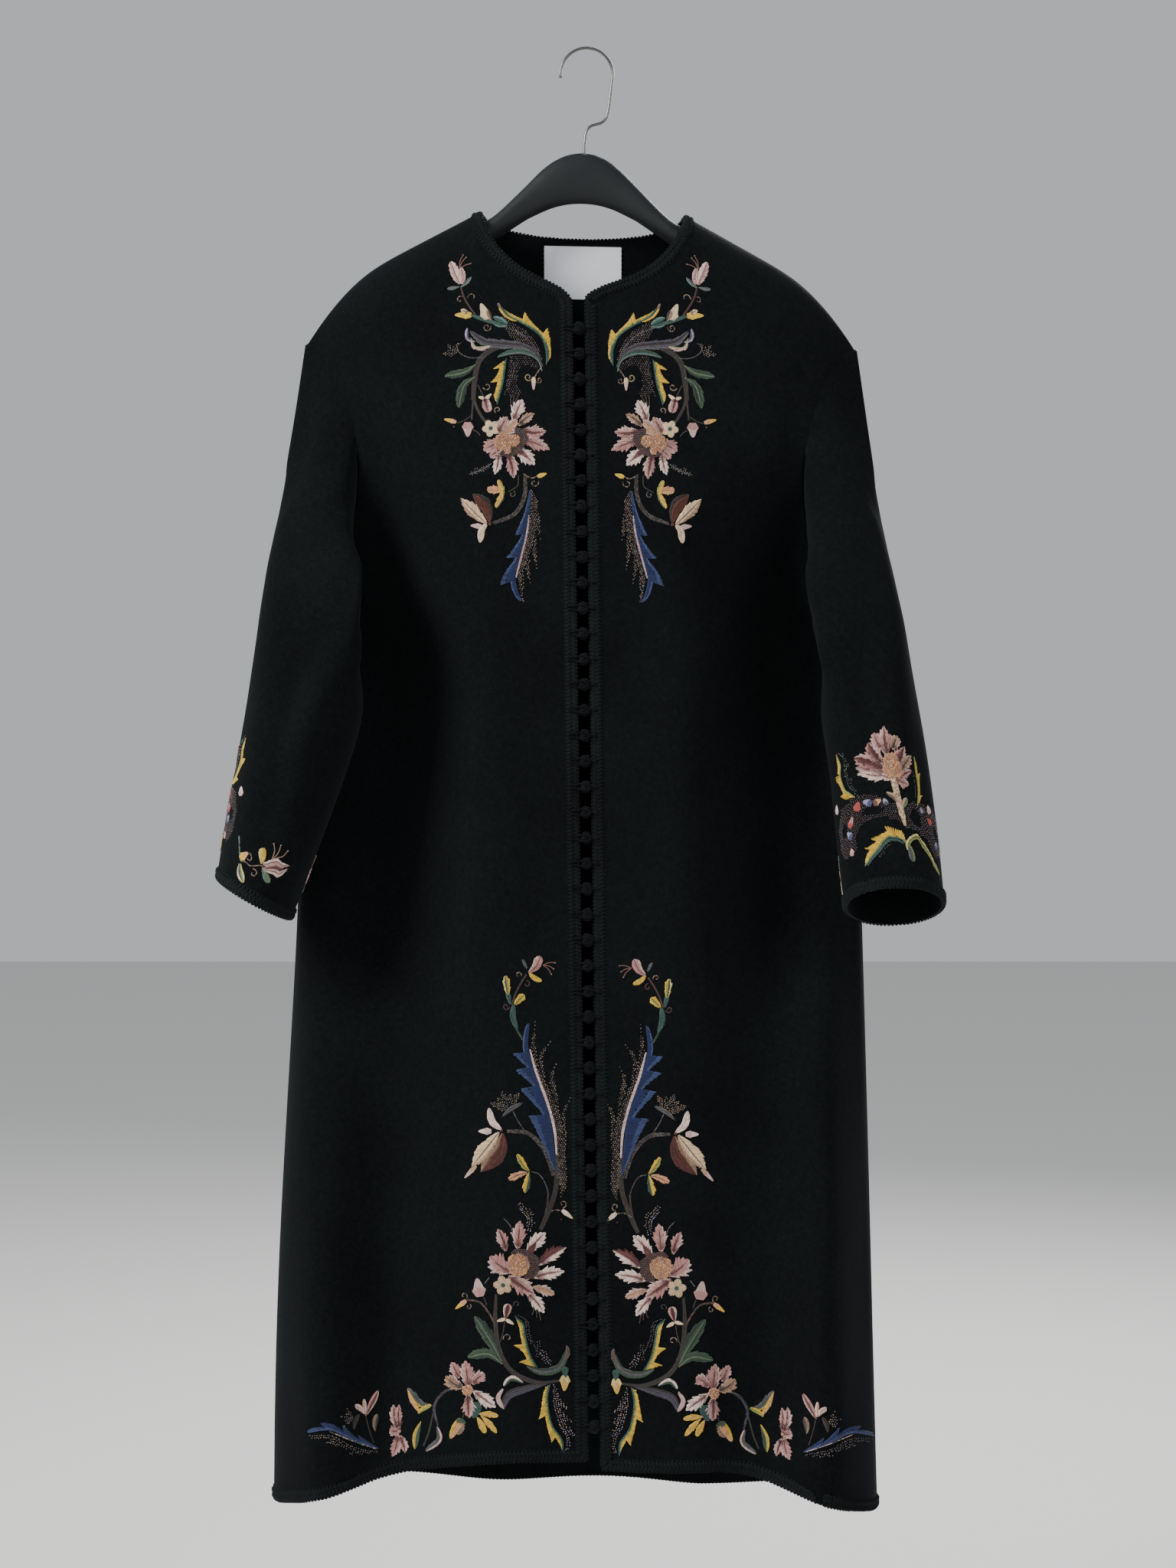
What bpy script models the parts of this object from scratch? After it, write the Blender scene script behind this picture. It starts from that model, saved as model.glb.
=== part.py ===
# Long collarless coat of felted wool, buttoned and hung on a contoured hanger.
# Metres, +Z up, X to the viewer's right, Y away from the viewer.
# The origin is the point where the crook of the hook rests on its rail.

import math
from collections import namedtuple

import bmesh
import bpy
from mathutils import Vector

# Cloth, trim and seams
WALL = 0.0024
SEAM_GAP = 0.0003
BRAID_WIDTH = 0.0085
BRAID_THICK = 0.0015
LABEL_THICK = 0.0008

# The coat hangs a little lower on the viewer's right: z falls by LEAN for each metre of x.
LEAN = 0.020

# Neck and shoulders
NECK_CENTRE_X = -0.0033
NECK_HALF = 0.0887
NECK_POINT_Z = -0.1435
FRONT_NECK_DROP = 0.0715
BACK_NECK_DROP = 0.0160
NECK_POWER = 0.55
NECK_TURN = 0.72
NOTCH_DEPTH = 0.0120
NOTCH_REACH = 0.0180
SHOULDER_SLOPE = 0.54
SHOULDER_BEND = 8.1
BEND_START = 0.172
SHOULDER_ROUND = 0.045
RIDGE_ROW = 0.0030
RIDGE_EASE = 0.055

# How far outward directions lean up at the shoulders and sideways, to tell a wall's two faces
SHOULDER_LIFT = 1.5
SIDE_LEAN = 0.18

# Front closing: the two edges stand this far apart, with a row of knot buttons between
CLOSING_GAP = 0.0120
CLOSING_TOP_X = -0.0065
CLOSING_HEM_X = 0.0065
CLOSING_TOP_Z = -0.250
CLOSING_HEM_Z = -1.200
BUTTON_COUNT = 44
BUTTON_FIRST_Z = -0.2499
BUTTON_PITCH = 0.0218
BUTTON_RADIUS = 0.0042
SHANK_RADIUS = 0.0012
BUTTON_SIDES = 6

# Armholes
UNDERARM_Z = -0.4945
FRONT_SCOOP = 0.048
BACK_SCOOP = 0.004
SCOOP_POWER = 0.6

# Hem heights at the centre front and centre back, and the fall towards the sides
Hem = namedtuple("Hem", "height start full drop power")
HEMS = {
    "left": Hem(height=-1.2160, start=0.040, full=0.262, drop=0.0520, power=1.6),
    "right": Hem(height=-1.2235, start=0.133, full=0.262, drop=0.0410, power=1.05),
    "back": Hem(height=-1.2620, start=0.150, full=0.262, drop=0.0045, power=1.5),
}

# The body at several heights: centre line and half width, how far the front stands forward of
# the hook, the side seam stands back and the back stands back, and how boxy the section is
Body = namedtuple("Body", "z centre half_width front side back crown")
BODY = [
    Body(-0.140, -0.0047, 0.2380, 0.036, 0.004, 0.032, 3.0),
    Body(-0.253, -0.0047, 0.2380, 0.040, 0.012, 0.040, 3.0),
    Body(-0.370, -0.0050, 0.2395, 0.043, 0.021, 0.050, 3.0),
    Body(-0.490, -0.0055, 0.2420, 0.045, 0.028, 0.056, 3.0),
    Body(-0.640, -0.0060, 0.2460, 0.046, 0.031, 0.060, 3.0),
    Body(-0.760, -0.0060, 0.2490, 0.047, 0.028, 0.062, 3.2),
    Body(-0.900, -0.0080, 0.2540, 0.048, 0.020, 0.064, 4.0),
    Body(-1.040, -0.0100, 0.2590, 0.049, 0.014, 0.066, 5.5),
    Body(-1.160, -0.0105, 0.2620, 0.050, 0.010, 0.068, 6.5),
    Body(-1.280, -0.0095, 0.2640, 0.051, 0.008, 0.069, 7.0),
]

# The hollow in each front in which the sleeve hangs
HOLLOW_DEPTH = 0.050
HOLLOW_TOP = (-0.330, -0.470)
HOLLOW_FOOT = (-0.735, -0.900)
HOLLOW_ACROSS = (0.075, 0.185)

# Long soft folds of the skirt, forward positive on the front and backward positive on the back
Fold = namedtuple("Fold", "face x_top x_hem z_start z_full half_width depth")
FOLDS = [
    Fold("front", -0.218, -0.222, -0.770, -1.150, 0.034, 0.026),
    Fold("front", -0.160, -0.170, -0.640, -1.050, 0.042, -0.020),
    Fold("front", -0.070, -0.062, -0.300, -0.900, 0.048, 0.008),
    Fold("front", 0.200, 0.208, -0.770, -1.150, 0.036, 0.026),
    Fold("front", 0.140, 0.146, -0.560, -1.050, 0.038, -0.016),
    Fold("front", 0.074, 0.070, -0.300, -0.900, 0.040, 0.006),
    Fold("back", -0.150, -0.175, -0.450, -1.100, 0.045, 0.014),
    Fold("back", -0.065, -0.075, -0.350, -1.000, 0.040, -0.012),
    Fold("back", 0.020, 0.015, -0.500, -1.150, 0.050, 0.010),
    Fold("back", 0.110, 0.105, -0.400, -1.000, 0.042, -0.012),
    Fold("back", 0.175, 0.190, -0.500, -1.100, 0.040, 0.012),
]

# Sleeves from armhole to cuff: the outer line, the inner line, the middle's depth, half of the
# thickness, how far the front edge of the section is turned up (radians), and how far the
# front of the sleeve laps inwards over the body
Sleeve = namedtuple("Sleeve", "share outer_x outer_z inner_x inner_z mid_y half_depth pitch lap")
SLEEVES = {
    "left": [
        Sleeve(0.00, -0.2445, -0.2545, -0.2475, -0.4890, 0.012, 0.030, 0.0, 0.000),
        Sleeve(0.12, -0.2535, -0.3180, -0.2570, -0.4915, 0.006, 0.034, 0.0, 0.020),
        Sleeve(0.26, -0.2640, -0.3850, -0.2600, -0.5010, -0.008, 0.039, 0.0, 0.062),
        Sleeve(0.40, -0.2735, -0.4550, -0.2320, -0.5200, -0.034, 0.042, 0.0, 0.050),
        Sleeve(0.56, -0.2865, -0.5500, -0.1900, -0.5650, -0.050, 0.045, 0.0, 0.006),
        Sleeve(0.72, -0.2980, -0.6200, -0.2020, -0.6250, -0.052, 0.048, 0.0, 0.000),
        Sleeve(0.86, -0.3090, -0.6760, -0.2270, -0.6930, -0.050, 0.050, 0.0, 0.000),
        Sleeve(1.00, -0.3150, -0.7190, -0.2515, -0.7555, -0.046, 0.051, 0.0, 0.000),
    ],
    "right": [
        Sleeve(0.00, 0.2352, -0.2640, 0.2378, -0.4985, 0.012, 0.030, 0.00, 0.000),
        Sleeve(0.12, 0.2440, -0.3280, 0.2470, -0.5010, 0.006, 0.034, 0.00, 0.020),
        Sleeve(0.26, 0.2530, -0.3920, 0.2500, -0.5100, -0.008, 0.038, 0.00, 0.054),
        Sleeve(0.40, 0.2630, -0.4600, 0.2290, -0.5280, -0.032, 0.040, 0.00, 0.040),
        Sleeve(0.56, 0.2800, -0.5530, 0.2000, -0.5700, -0.046, 0.043, 0.05, 0.004),
        Sleeve(0.72, 0.2910, -0.6220, 0.2060, -0.6270, -0.054, 0.045, 0.14, 0.000),
        Sleeve(0.86, 0.2980, -0.6820, 0.2110, -0.6860, -0.062, 0.044, 0.28, 0.000),
        Sleeve(1.00, 0.3020, -0.7430, 0.2170, -0.7430, -0.074, 0.044, 0.42, 0.000),
    ],
}
# How far the sleeve's head starts outside the armhole at the shoulder, front, underarm and back
HEAD_STEP = {"shoulder": 0.0022, "front": 0.0006, "underarm": 0.0014, "back": 0.0030}
HEAD_DROP = 0.0008
CAP_FADE = 0.40
LAP_ANGLE = math.radians(135)
LAP_WIDTH = math.radians(45)
LAP_FORWARD = 0.55

# Label inside the back neck
LABEL_WIDTH = 0.068
LABEL_HEIGHT = 0.046
LABEL_TOP_Z = -0.1655

# Hanger body: half width of the arms, and its top and bottom lines from the middle outwards
HANGER_CENTRE_X = -0.0040
HANGER_GAP = 0.0004
ARM_SLANT = math.sqrt(1.0 + SHOULDER_SLOPE ** 2)
Arm = namedtuple("Arm", "reach top bottom half_depth")
ARMS = [
    Arm(0.000, -0.0905, -0.1345, 0.0075),
    Arm(0.014, -0.0920, -0.1355, 0.0076),
    Arm(0.030, -0.1010, -0.1400, 0.0080),
    Arm(0.046, -0.1165, -0.1490, 0.0088),
    Arm(0.066, -0.1370, -0.1620, 0.0105),
    Arm(0.082, -0.1520, -0.1740, 0.0125),
    Arm(0.100, -0.1560, -0.1850, 0.0145),
    Arm(0.125, -0.1600, -0.1990, 0.0160),
    Arm(0.145, -0.1700, -0.2090, 0.0165),
    Arm(0.165, -0.1800, -0.2190, 0.0160),
    Arm(0.188, -0.2070, -0.2290, 0.0140),
    Arm(0.202, -0.2200, -0.2330, 0.0080),
]
HANGER_SIDES = 10
SOCKET_RADIUS = 0.0019
SOCKET_DEPTH = 0.010

# Hook of bent wire
WIRE_RADIUS = 0.0014
CROOK_RADIUS = 0.0230
CROOK_CENTRE = (0.0, -0.0216)
CROOK_TIP_ANGLE = math.radians(188)
CROOK_END_ANGLE = math.radians(-6)
SHAFT_FOOT = (0.0180, -0.0600)
JOG_START = (0.0130, -0.0650)
JOG_END = (0.0050, -0.0657)
STEM_TOP = (-0.0005, -0.0695)
STEM_X = -0.0020
STEM_START_Z = -0.0800
STEM_FOOT_Z = -0.0985

# Grid counts
NECK_COLUMNS = 6
SHOULDER_COLUMNS = 9
ARM_ROWS = 10
SKIRT_ROWS = 12
SLEEVE_RINGS = 15
LAST_RING = 0.955
RING_SPREAD = 1.1
SIDE_SPREAD = 1.7
ROW_SPREAD = 1.3


def clamp(value, low=0.0, high=1.0):
    return min(max(value, low), high)


def ease(value):
    value = clamp(value)
    return value * value * (3.0 - 2.0 * value)


def mix(a, b, share):
    return a + (b - a) * share


def reading(rows, place):
    """A row of a table at a place along its first column, with the columns smoothly joined."""
    rows = sorted(rows)
    place = clamp(place, rows[0][0], rows[-1][0])
    k = 1
    while k < len(rows) - 1 and place > rows[k][0]:
        k += 1
    before = rows[max(k - 2, 0)]
    low = rows[k - 1]
    high = rows[k]
    after = rows[min(k + 1, len(rows) - 1)]
    span = high[0] - low[0]
    t = (place - low[0]) / span
    values = [place]
    for column in range(1, len(low)):
        start_slope = span * (high[column] - before[column]) / (high[0] - before[0])
        end_slope = span * (after[column] - low[column]) / (after[0] - low[0])
        values.append(
            (2 * t ** 3 - 3 * t ** 2 + 1) * low[column]
            + (t ** 3 - 2 * t ** 2 + t) * start_slope
            + (3 * t ** 2 - 2 * t ** 3) * high[column]
            + (t ** 3 - t ** 2) * end_slope
        )
    return type(low)(*values)


def side_sign(side):
    return -1 if side == "left" else 1


# Outline of the coat

def shoulder_z(x):
    reach = abs(x - NECK_CENTRE_X)
    bend = SHOULDER_BEND * max(0.0, reach - BEND_START) ** 2
    return NECK_POINT_Z - SHOULDER_SLOPE * (reach - NECK_HALF) - bend - LEAN * x


def neckline_z(x, drop):
    share = clamp(abs(x - NECK_CENTRE_X) / NECK_HALF)
    return NECK_POINT_Z - drop * (1.0 - share ** 2) ** NECK_POWER - LEAN * x


def closing_x(z):
    share = (z - CLOSING_TOP_Z) / (CLOSING_HEM_Z - CLOSING_TOP_Z)
    return mix(CLOSING_TOP_X, CLOSING_HEM_X, share)


def front_edge_x(side, z):
    return closing_x(z) + side_sign(side) * CLOSING_GAP / 2


def side_x(side, z):
    body = reading(BODY, z)
    return body.centre + side_sign(side) * body.half_width


def shoulder_point_z(side):
    return shoulder_z(side_x(side, BODY[1].z))


def underarm_z(side):
    return UNDERARM_Z - LEAN * side_x(side, UNDERARM_Z)


def outer_edge_x(side, z, scoop):
    top = shoulder_point_z(side)
    foot = underarm_z(side)
    along = clamp((top - z) / (top - foot))
    inward = scoop * math.sin(math.pi * along) ** SCOOP_POWER if 0 < along < 1 else 0.0
    return side_x(side, z) - side_sign(side) * inward


def hem_z(panel, x):
    hem = HEMS[panel]
    reach = abs(x - reading(BODY, hem.height).centre)
    fall = clamp((reach - hem.start) / (hem.full - hem.start)) ** hem.power
    return hem.height - hem.drop * fall - LEAN * x


# Depth of the coat

def fold_depth(face, x, z, across):
    total = 0.0
    for fold in FOLDS:
        if fold.face == face:
            grown = ease((fold.z_start - z) / (fold.z_start - fold.z_full))
            middle = mix(fold.x_top, fold.x_hem, grown)
            total += fold.depth * grown * math.exp(-((x - middle) / fold.half_width) ** 2)
    return total * (1.0 - across ** 8)


def hollow_depth(x, z, body, across):
    down = ease((HOLLOW_TOP[0] - z) / (HOLLOW_TOP[0] - HOLLOW_TOP[1]))
    up = 1.0 - ease((HOLLOW_FOOT[0] - z) / (HOLLOW_FOOT[0] - HOLLOW_FOOT[1]))
    reach = abs(x - body.centre)
    inward = ease((reach - HOLLOW_ACROSS[0]) / (HOLLOW_ACROSS[1] - HOLLOW_ACROSS[0]))
    return HOLLOW_DEPTH * down * up * inward * (1.0 - across ** 6)


def body_y(face, x, z):
    body = reading(BODY, z)
    across = clamp(abs(x - body.centre) / body.half_width)
    crown = math.sqrt(1.0 - across ** body.crown)
    if face == "front":
        y = body.side - (body.side + body.front) * crown
        y += hollow_depth(x, z, body, across) - fold_depth(face, x, z, across)
    else:
        y = body.side + (body.back - body.side) * crown + fold_depth(face, x, z, across)
    below = clamp((shoulder_z(x) - z) / SHOULDER_ROUND)
    return y * math.sqrt(1.0 - (1.0 - below) ** 2)


# Grids of points on each cut piece

def column_starts(side):
    """x of each column at the neckline or shoulder, from the middle outwards."""
    sign = side_sign(side)
    starts = []
    for i in range(NECK_COLUMNS + 1):
        starts.append(NECK_CENTRE_X + sign * NECK_HALF * math.sin(math.pi / 2 * i / NECK_COLUMNS))
    near = NECK_CENTRE_X + sign * (NECK_HALF + BRAID_WIDTH)
    far = side_x(side, BODY[1].z)
    for i in range(SHOULDER_COLUMNS + 1):
        share = 1.0 - (1.0 - i / SHOULDER_COLUMNS) ** SIDE_SPREAD
        starts.append(mix(near, far, share))
    return starts


def rows_down(top, border, middle, foot):
    """Heights down a column: edge, border line, underarm level, border line, hem."""
    heights = [top, border]
    for j in range(1, ARM_ROWS):
        heights.append(mix(border, middle, (j / (ARM_ROWS - 1)) ** ROW_SPREAD))
    for j in range(1, SKIRT_ROWS):
        heights.append(mix(middle, foot + BRAID_WIDTH, j / (SKIRT_ROWS - 1)))
    heights.append(foot)
    return heights


def neck_offset(x, drop, sign):
    """Direction across the neckline, into the cloth."""
    step = 0.0005
    rise = (neckline_z(x + step, drop) - neckline_z(x - step, drop)) / (2 * step)
    away = Vector((rise, 0.0, -1.0)).normalized()
    away.x = sign * min(abs(away.x), NECK_TURN)
    away.z = -math.sqrt(1.0 - away.x ** 2)
    return away * BRAID_WIDTH


def half_panel(side, face):
    """Columns of points from the middle of a front or back to its side seam."""
    sign = side_sign(side)
    drop = FRONT_NECK_DROP if face == "front" else BACK_NECK_DROP
    scoop = FRONT_SCOOP if face == "front" else BACK_SCOOP
    panel = side if face == "front" else "back"
    seam = -SEAM_GAP / 2 if face == "front" else SEAM_GAP / 2
    top_outer = side_x(side, BODY[1].z)
    columns = []
    starts = column_starts(side)
    if face == "front":
        starts[0] = front_edge_x(side, CLOSING_TOP_Z)
        starts[1] = starts[0] + sign * BRAID_WIDTH
    for i, start in enumerate(starts):
        on_neck = i <= NECK_COLUMNS
        below = start
        if on_neck:
            top = neckline_z(start, drop)
            offset = neck_offset(start, drop, sign)
            border = top + offset.z
            if i > 1:
                below = start + offset.x
        else:
            top = shoulder_z(start)
            border = top - mix(RIDGE_ROW, BRAID_WIDTH, ease((abs(start) - BEND_START) / RIDGE_EASE))
        if face == "front" and on_neck:
            near = 1.0 - abs(start - closing_x(top)) / NOTCH_REACH
            top -= NOTCH_DEPTH * ease(near)
            border -= NOTCH_DEPTH * ease(near)
        inner_top = closing_x(CLOSING_TOP_Z) if face == "front" else NECK_CENTRE_X
        share = (below - inner_top) / (top_outer - inner_top)
        foot_x = mix(closing_x(CLOSING_HEM_Z), side_x(side, CLOSING_HEM_Z), share)
        heights = rows_down(top, border, underarm_z(side), hem_z(panel, foot_x))
        column = []
        for j, z in enumerate(heights):
            inner = closing_x(z) if face == "front" else NECK_CENTRE_X
            x = mix(inner, outer_edge_x(side, z, scoop), share)
            if j == 0:
                x = start
            if face == "front" and i < 2:
                x = front_edge_x(side, z) + sign * BRAID_WIDTH * i
            column.append(Vector((x, body_y(face, x, z) + seam, z)))
        columns.append(column)
    return columns


def armhole_ring(side):
    """Edge points of both panels round an armhole: shoulder, down the front, up the back."""
    front = half_panel(side, "front")[-1][:ARM_ROWS + 1]
    back = half_panel(side, "back")[-1][:ARM_ROWS + 1]
    return front + back[-2:0:-1]


def sleeve_section(side, share, count):
    row = reading(SLEEVES[side], share)
    outer = Vector((row.outer_x, row.mid_y, row.outer_z))
    inner = Vector((row.inner_x, row.mid_y, row.inner_z))
    middle = (outer + inner) / 2
    reach = (outer - inner) / 2
    forward = Vector((0.0, -math.cos(row.pitch), math.sin(row.pitch))) * row.half_depth
    lap = Vector((-side_sign(side), -LAP_FORWARD, 0.0)) * row.lap
    points = []
    for k in range(count):
        angle = 2 * math.pi * k / count
        bump = math.exp(-((angle - LAP_ANGLE) / LAP_WIDTH) ** 2)
        point = middle + reach * math.cos(angle) + forward * math.sin(angle)
        points.append(point + lap * bump)
    return points


def sleeve_rings(side):
    sign = side_sign(side)
    armhole = armhole_ring(side)
    count = len(armhole)
    opening = sleeve_section(side, 0.0, count)
    steps = [HEAD_STEP["shoulder"]]
    for k in range(1, ARM_ROWS):
        steps.append(mix(HEAD_STEP["front"], HEAD_STEP["back"], (k / ARM_ROWS) ** 4))
    steps += [HEAD_STEP["underarm"]] + [HEAD_STEP["back"]] * (count - ARM_ROWS - 1)
    last_step = 1.0 - LAST_RING
    step_length = (sleeve_section(side, 1.0, count)[0] - sleeve_section(side, LAST_RING, count)[0]).length
    shares = [LAST_RING * (k / (SLEEVE_RINGS - 1)) ** RING_SPREAD for k in range(SLEEVE_RINGS)]
    shares.append(1.0 - last_step * BRAID_WIDTH / step_length)
    shares.append(1.0)
    rings = []
    for share in shares:
        kept = 1.0 - ease(share / CAP_FADE)
        ring = []
        section = sleeve_section(side, share, count)
        for start, free, point, step in zip(armhole, opening, section, steps):
            seam = start + Vector((sign * step, 0.0, -HEAD_DROP))
            ring.append(point + (seam - free) * kept)
        rings.append(ring)
    return rings


# Solids from grids

def sheet_from_grid(columns, closed=False):
    """One open sheet of quads through a grid of points."""
    bm = bmesh.new()
    wide = len(columns) - 1
    high = len(columns[0]) - 1
    bmesh.ops.create_grid(bm, x_segments=wide, y_segments=high, size=0.5)
    for vert in bm.verts:
        i = round((vert.co.x + 0.5) * wide)
        j = round((0.5 - vert.co.y) * high)
        vert.co = columns[i][j]
    if closed:
        bmesh.ops.remove_doubles(bm, verts=bm.verts, dist=1e-5)
    bmesh.ops.triangulate(bm, faces=bm.faces, quad_method="SHORT_EDGE")
    bm.normal_update()
    return bm


def wall_from_sheet(bm, outward, near, far, seam_point=None):
    """Close a sheet into a wall that lies between two distances from it along its normals."""
    normals = {}
    for vert in bm.verts:
        normal = vert.normal.copy()
        if normal.dot(outward(vert.co)) < 0:
            normal.negate()
        if vert.is_boundary and seam_point and seam_point(vert.co):
            normal.y = 0.0
            normal.normalize()
        normals[vert] = normal
    faces = list(bm.faces)
    rim = [edge for edge in bm.edges if edge.is_boundary]
    twins = {}
    for vert in list(bm.verts):
        twins[vert] = bm.verts.new(vert.co + normals[vert] * far)
    for vert, twin in twins.items():
        vert.co = vert.co + normals[vert] * near
    for face in faces:
        bm.faces.new([twins[vert] for vert in reversed(face.verts)])
    for edge in rim:
        a, b = edge.verts
        bm.faces.new((a, b, twins[b], twins[a]))
    bmesh.ops.recalc_face_normals(bm, faces=bm.faces)
    return bm


def keep_faces(bm, wanted):
    spare = [face for face in bm.faces if not wanted(face)]
    bmesh.ops.delete(bm, geom=spare, context="FACES")


def new_object(name, bm, material, smooth=True):
    mesh = bpy.data.meshes.new(name)
    bm.to_mesh(mesh)
    bm.free()
    if smooth:
        mesh.shade_smooth()
        mesh.set_sharp_from_angle(angle=math.radians(50))
    obj = bpy.data.objects.new(name, mesh)
    obj.data.materials.append(material)
    bpy.context.scene.collection.objects.link(obj)
    return obj


def new_material(name, colour, roughness, metallic=0.0):
    material = bpy.data.materials.new(name)
    material.use_nodes = True
    shader = material.node_tree.nodes["Principled BSDF"]
    shader.inputs["Base Color"].default_value = (*colour, 1.0)
    shader.inputs["Roughness"].default_value = roughness
    shader.inputs["Metallic"].default_value = metallic
    return material


def on_seam(co):
    """Whether an edge point lies on a shoulder seam or on a side seam below the armhole."""
    side = "left" if co.x < NECK_CENTRE_X else "right"
    at_shoulder = abs(co.z - shoulder_z(co.x)) < 0.0004
    at_side = co.z < underarm_z(side) + 0.0004 and abs(co.x - side_x(side, co.z)) < 0.0004
    return at_shoulder or at_side


def facing(y_direction):
    """Rough outward direction of a front or back, turning up over the shoulders."""
    def direction(co):
        rise = SHOULDER_LIFT * (1.0 - clamp((shoulder_z(co.x) - co.z) / SHOULDER_ROUND))
        sideways = math.copysign(SIDE_LEAN, co.x - NECK_CENTRE_X)
        return Vector((sideways, y_direction, rise))
    return direction


TOWARD_VIEWER = facing(-1.0)
TOWARD_BACK = facing(1.0)


# Pieces of the coat

def key(point):
    return tuple(round(value, 6) for value in point)


def braid_from_grid(name, columns, outward, wanted, material):
    """Flat braid over chosen cells of a panel's grid, moved out from the panel's own points."""
    places = {key(point): (i, j) for i, column in enumerate(columns)
              for j, point in enumerate(column)}
    sheet = sheet_from_grid(columns)

    def in_braid(face):
        found = [places[key(vert.co)] for vert in face.verts]
        return wanted(min(i for i, j in found), min(j for i, j in found))

    keep_faces(sheet, in_braid)
    solid = wall_from_sheet(sheet, outward, SEAM_GAP, SEAM_GAP + BRAID_THICK, on_seam)
    return new_object(name, solid, material)


def build_front(side, cloth, braid):
    columns = half_panel(side, "front")
    sheet = sheet_from_grid(columns)
    new_object("front_" + side, wall_from_sheet(sheet, TOWARD_VIEWER, 0.0, -WALL, on_seam), cloth)
    last = len(columns[0]) - 2
    braid_from_grid(
        "braid_front_" + side, columns, TOWARD_VIEWER,
        lambda i, j: i == 0 or j == last or (j == 0 and i <= NECK_COLUMNS), braid)


def build_back(cloth, braid):
    left = half_panel("left", "back")
    right = half_panel("right", "back")
    columns = left[::-1] + right[1:]
    sheet = sheet_from_grid(columns)
    new_object("back", wall_from_sheet(sheet, TOWARD_BACK, 0.0, -WALL, on_seam), cloth)
    last = len(columns[0]) - 2
    middle = len(left) - 1
    braid_from_grid(
        "braid_back_neck", columns, TOWARD_BACK,
        lambda i, j: j == 0 and middle - NECK_COLUMNS - 1 <= i < middle + NECK_COLUMNS + 1, braid)
    braid_from_grid("braid_back_hem", columns, TOWARD_BACK, lambda i, j: j == last, braid)


def sleeve_sheet(side, rings):
    """The sleeve's outer face as one open tube whose faces point outwards."""
    count = len(rings[0])
    columns = [[ring[k % count] for ring in rings] for k in range(count + 1)]
    sheet = sheet_from_grid(columns, closed=True)
    bmesh.ops.recalc_face_normals(sheet, faces=sheet.faces)
    sheet.normal_update()
    outermost = max(sheet.verts, key=lambda vert: side_sign(side) * vert.co.x)
    if outermost.normal.x * side_sign(side) < 0:
        bmesh.ops.reverse_faces(sheet, faces=sheet.faces)
        sheet.normal_update()
    return sheet


def as_it_faces(co):
    return Vector()


def build_sleeve(side, cloth, braid):
    rings = sleeve_rings(side)
    wall = wall_from_sheet(sleeve_sheet(side, rings), as_it_faces, 0.0, -WALL)
    new_object("sleeve_" + side, wall, cloth)
    border = {key(point) for point in rings[-1] + rings[-2]}
    cuff = sleeve_sheet(side, rings)
    keep_faces(cuff, lambda face: all(key(vert.co) in border for vert in face.verts))
    band = wall_from_sheet(cuff, as_it_faces, SEAM_GAP, SEAM_GAP + BRAID_THICK)
    new_object("braid_cuff_" + side, band, braid)


def build_label(satin):
    """Blank woven label on the inner face of the back neck."""
    columns = []
    for i in range(5):
        column = []
        for j in range(5):
            x = NECK_CENTRE_X + LABEL_WIDTH * (i / 4 - 0.5)
            z = LABEL_TOP_Z - LABEL_HEIGHT * j / 4 - LEAN * x
            column.append(Vector((x, body_y("back", x, z), z)))
        columns.append(column)
    inset = WALL + 2.5 * SEAM_GAP
    solid = wall_from_sheet(sheet_from_grid(columns), TOWARD_BACK, -inset, -inset - LABEL_THICK)
    new_object("neck_label", solid, satin)


def build_buttons(cord):
    """Knot buttons turned about X, each with a short shank to both edges."""
    half = CLOSING_GAP / 2 - SEAM_GAP
    radius = BUTTON_RADIUS
    profile = [
        (-half, SHANK_RADIUS),
        (-radius, SHANK_RADIUS),
        (-radius * 0.55, radius * 0.84),
        (radius * 0.10, radius),
        (radius * 0.72, radius * 0.70),
        (radius, SHANK_RADIUS),
        (half, SHANK_RADIUS),
    ]
    for k in range(BUTTON_COUNT):
        z = BUTTON_FIRST_Z - BUTTON_PITCH * k
        x = closing_x(z)
        y = body_y("front", x, z) + WALL / 2
        bm = bmesh.new()
        rings = []
        for along, size in profile:
            disc = bmesh.ops.create_circle(bm, cap_ends=False, radius=size, segments=BUTTON_SIDES)
            for vert in disc["verts"]:
                vert.co = Vector((x + along, y + vert.co.x, z + vert.co.y))
            rings.append(disc["verts"])
        for first, second in zip(rings, rings[1:]):
            for m in range(BUTTON_SIDES):
                n = (m + 1) % BUTTON_SIDES
                bm.faces.new((first[m], first[n], second[n], second[m]))
        bm.faces.new(rings[0])
        bm.faces.new(rings[-1])
        bmesh.ops.recalc_face_normals(bm, faces=bm.faces)
        new_object("button_%02d" % (k + 1), bm, cord)


# Hanger

def hanger_section(row, sign):
    """Points round one section of an arm, rounder at the ends than in the middle."""
    x = HANGER_CENTRE_X + sign * row.reach
    top = row.top - LEAN * x
    if row.reach > NECK_HALF:
        top = min(top, shoulder_z(x) - WALL * ARM_SLANT - HANGER_GAP)
    bottom = row.bottom - LEAN * x
    high = (top - bottom) / 2
    middle = (top + bottom) / 2
    points = []
    for k in range(HANGER_SIDES):
        angle = 2 * math.pi * (k + 0.5) / HANGER_SIDES
        points.append(Vector((x, row.half_depth * math.cos(angle), middle + high * math.sin(angle))))
    return points


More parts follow.
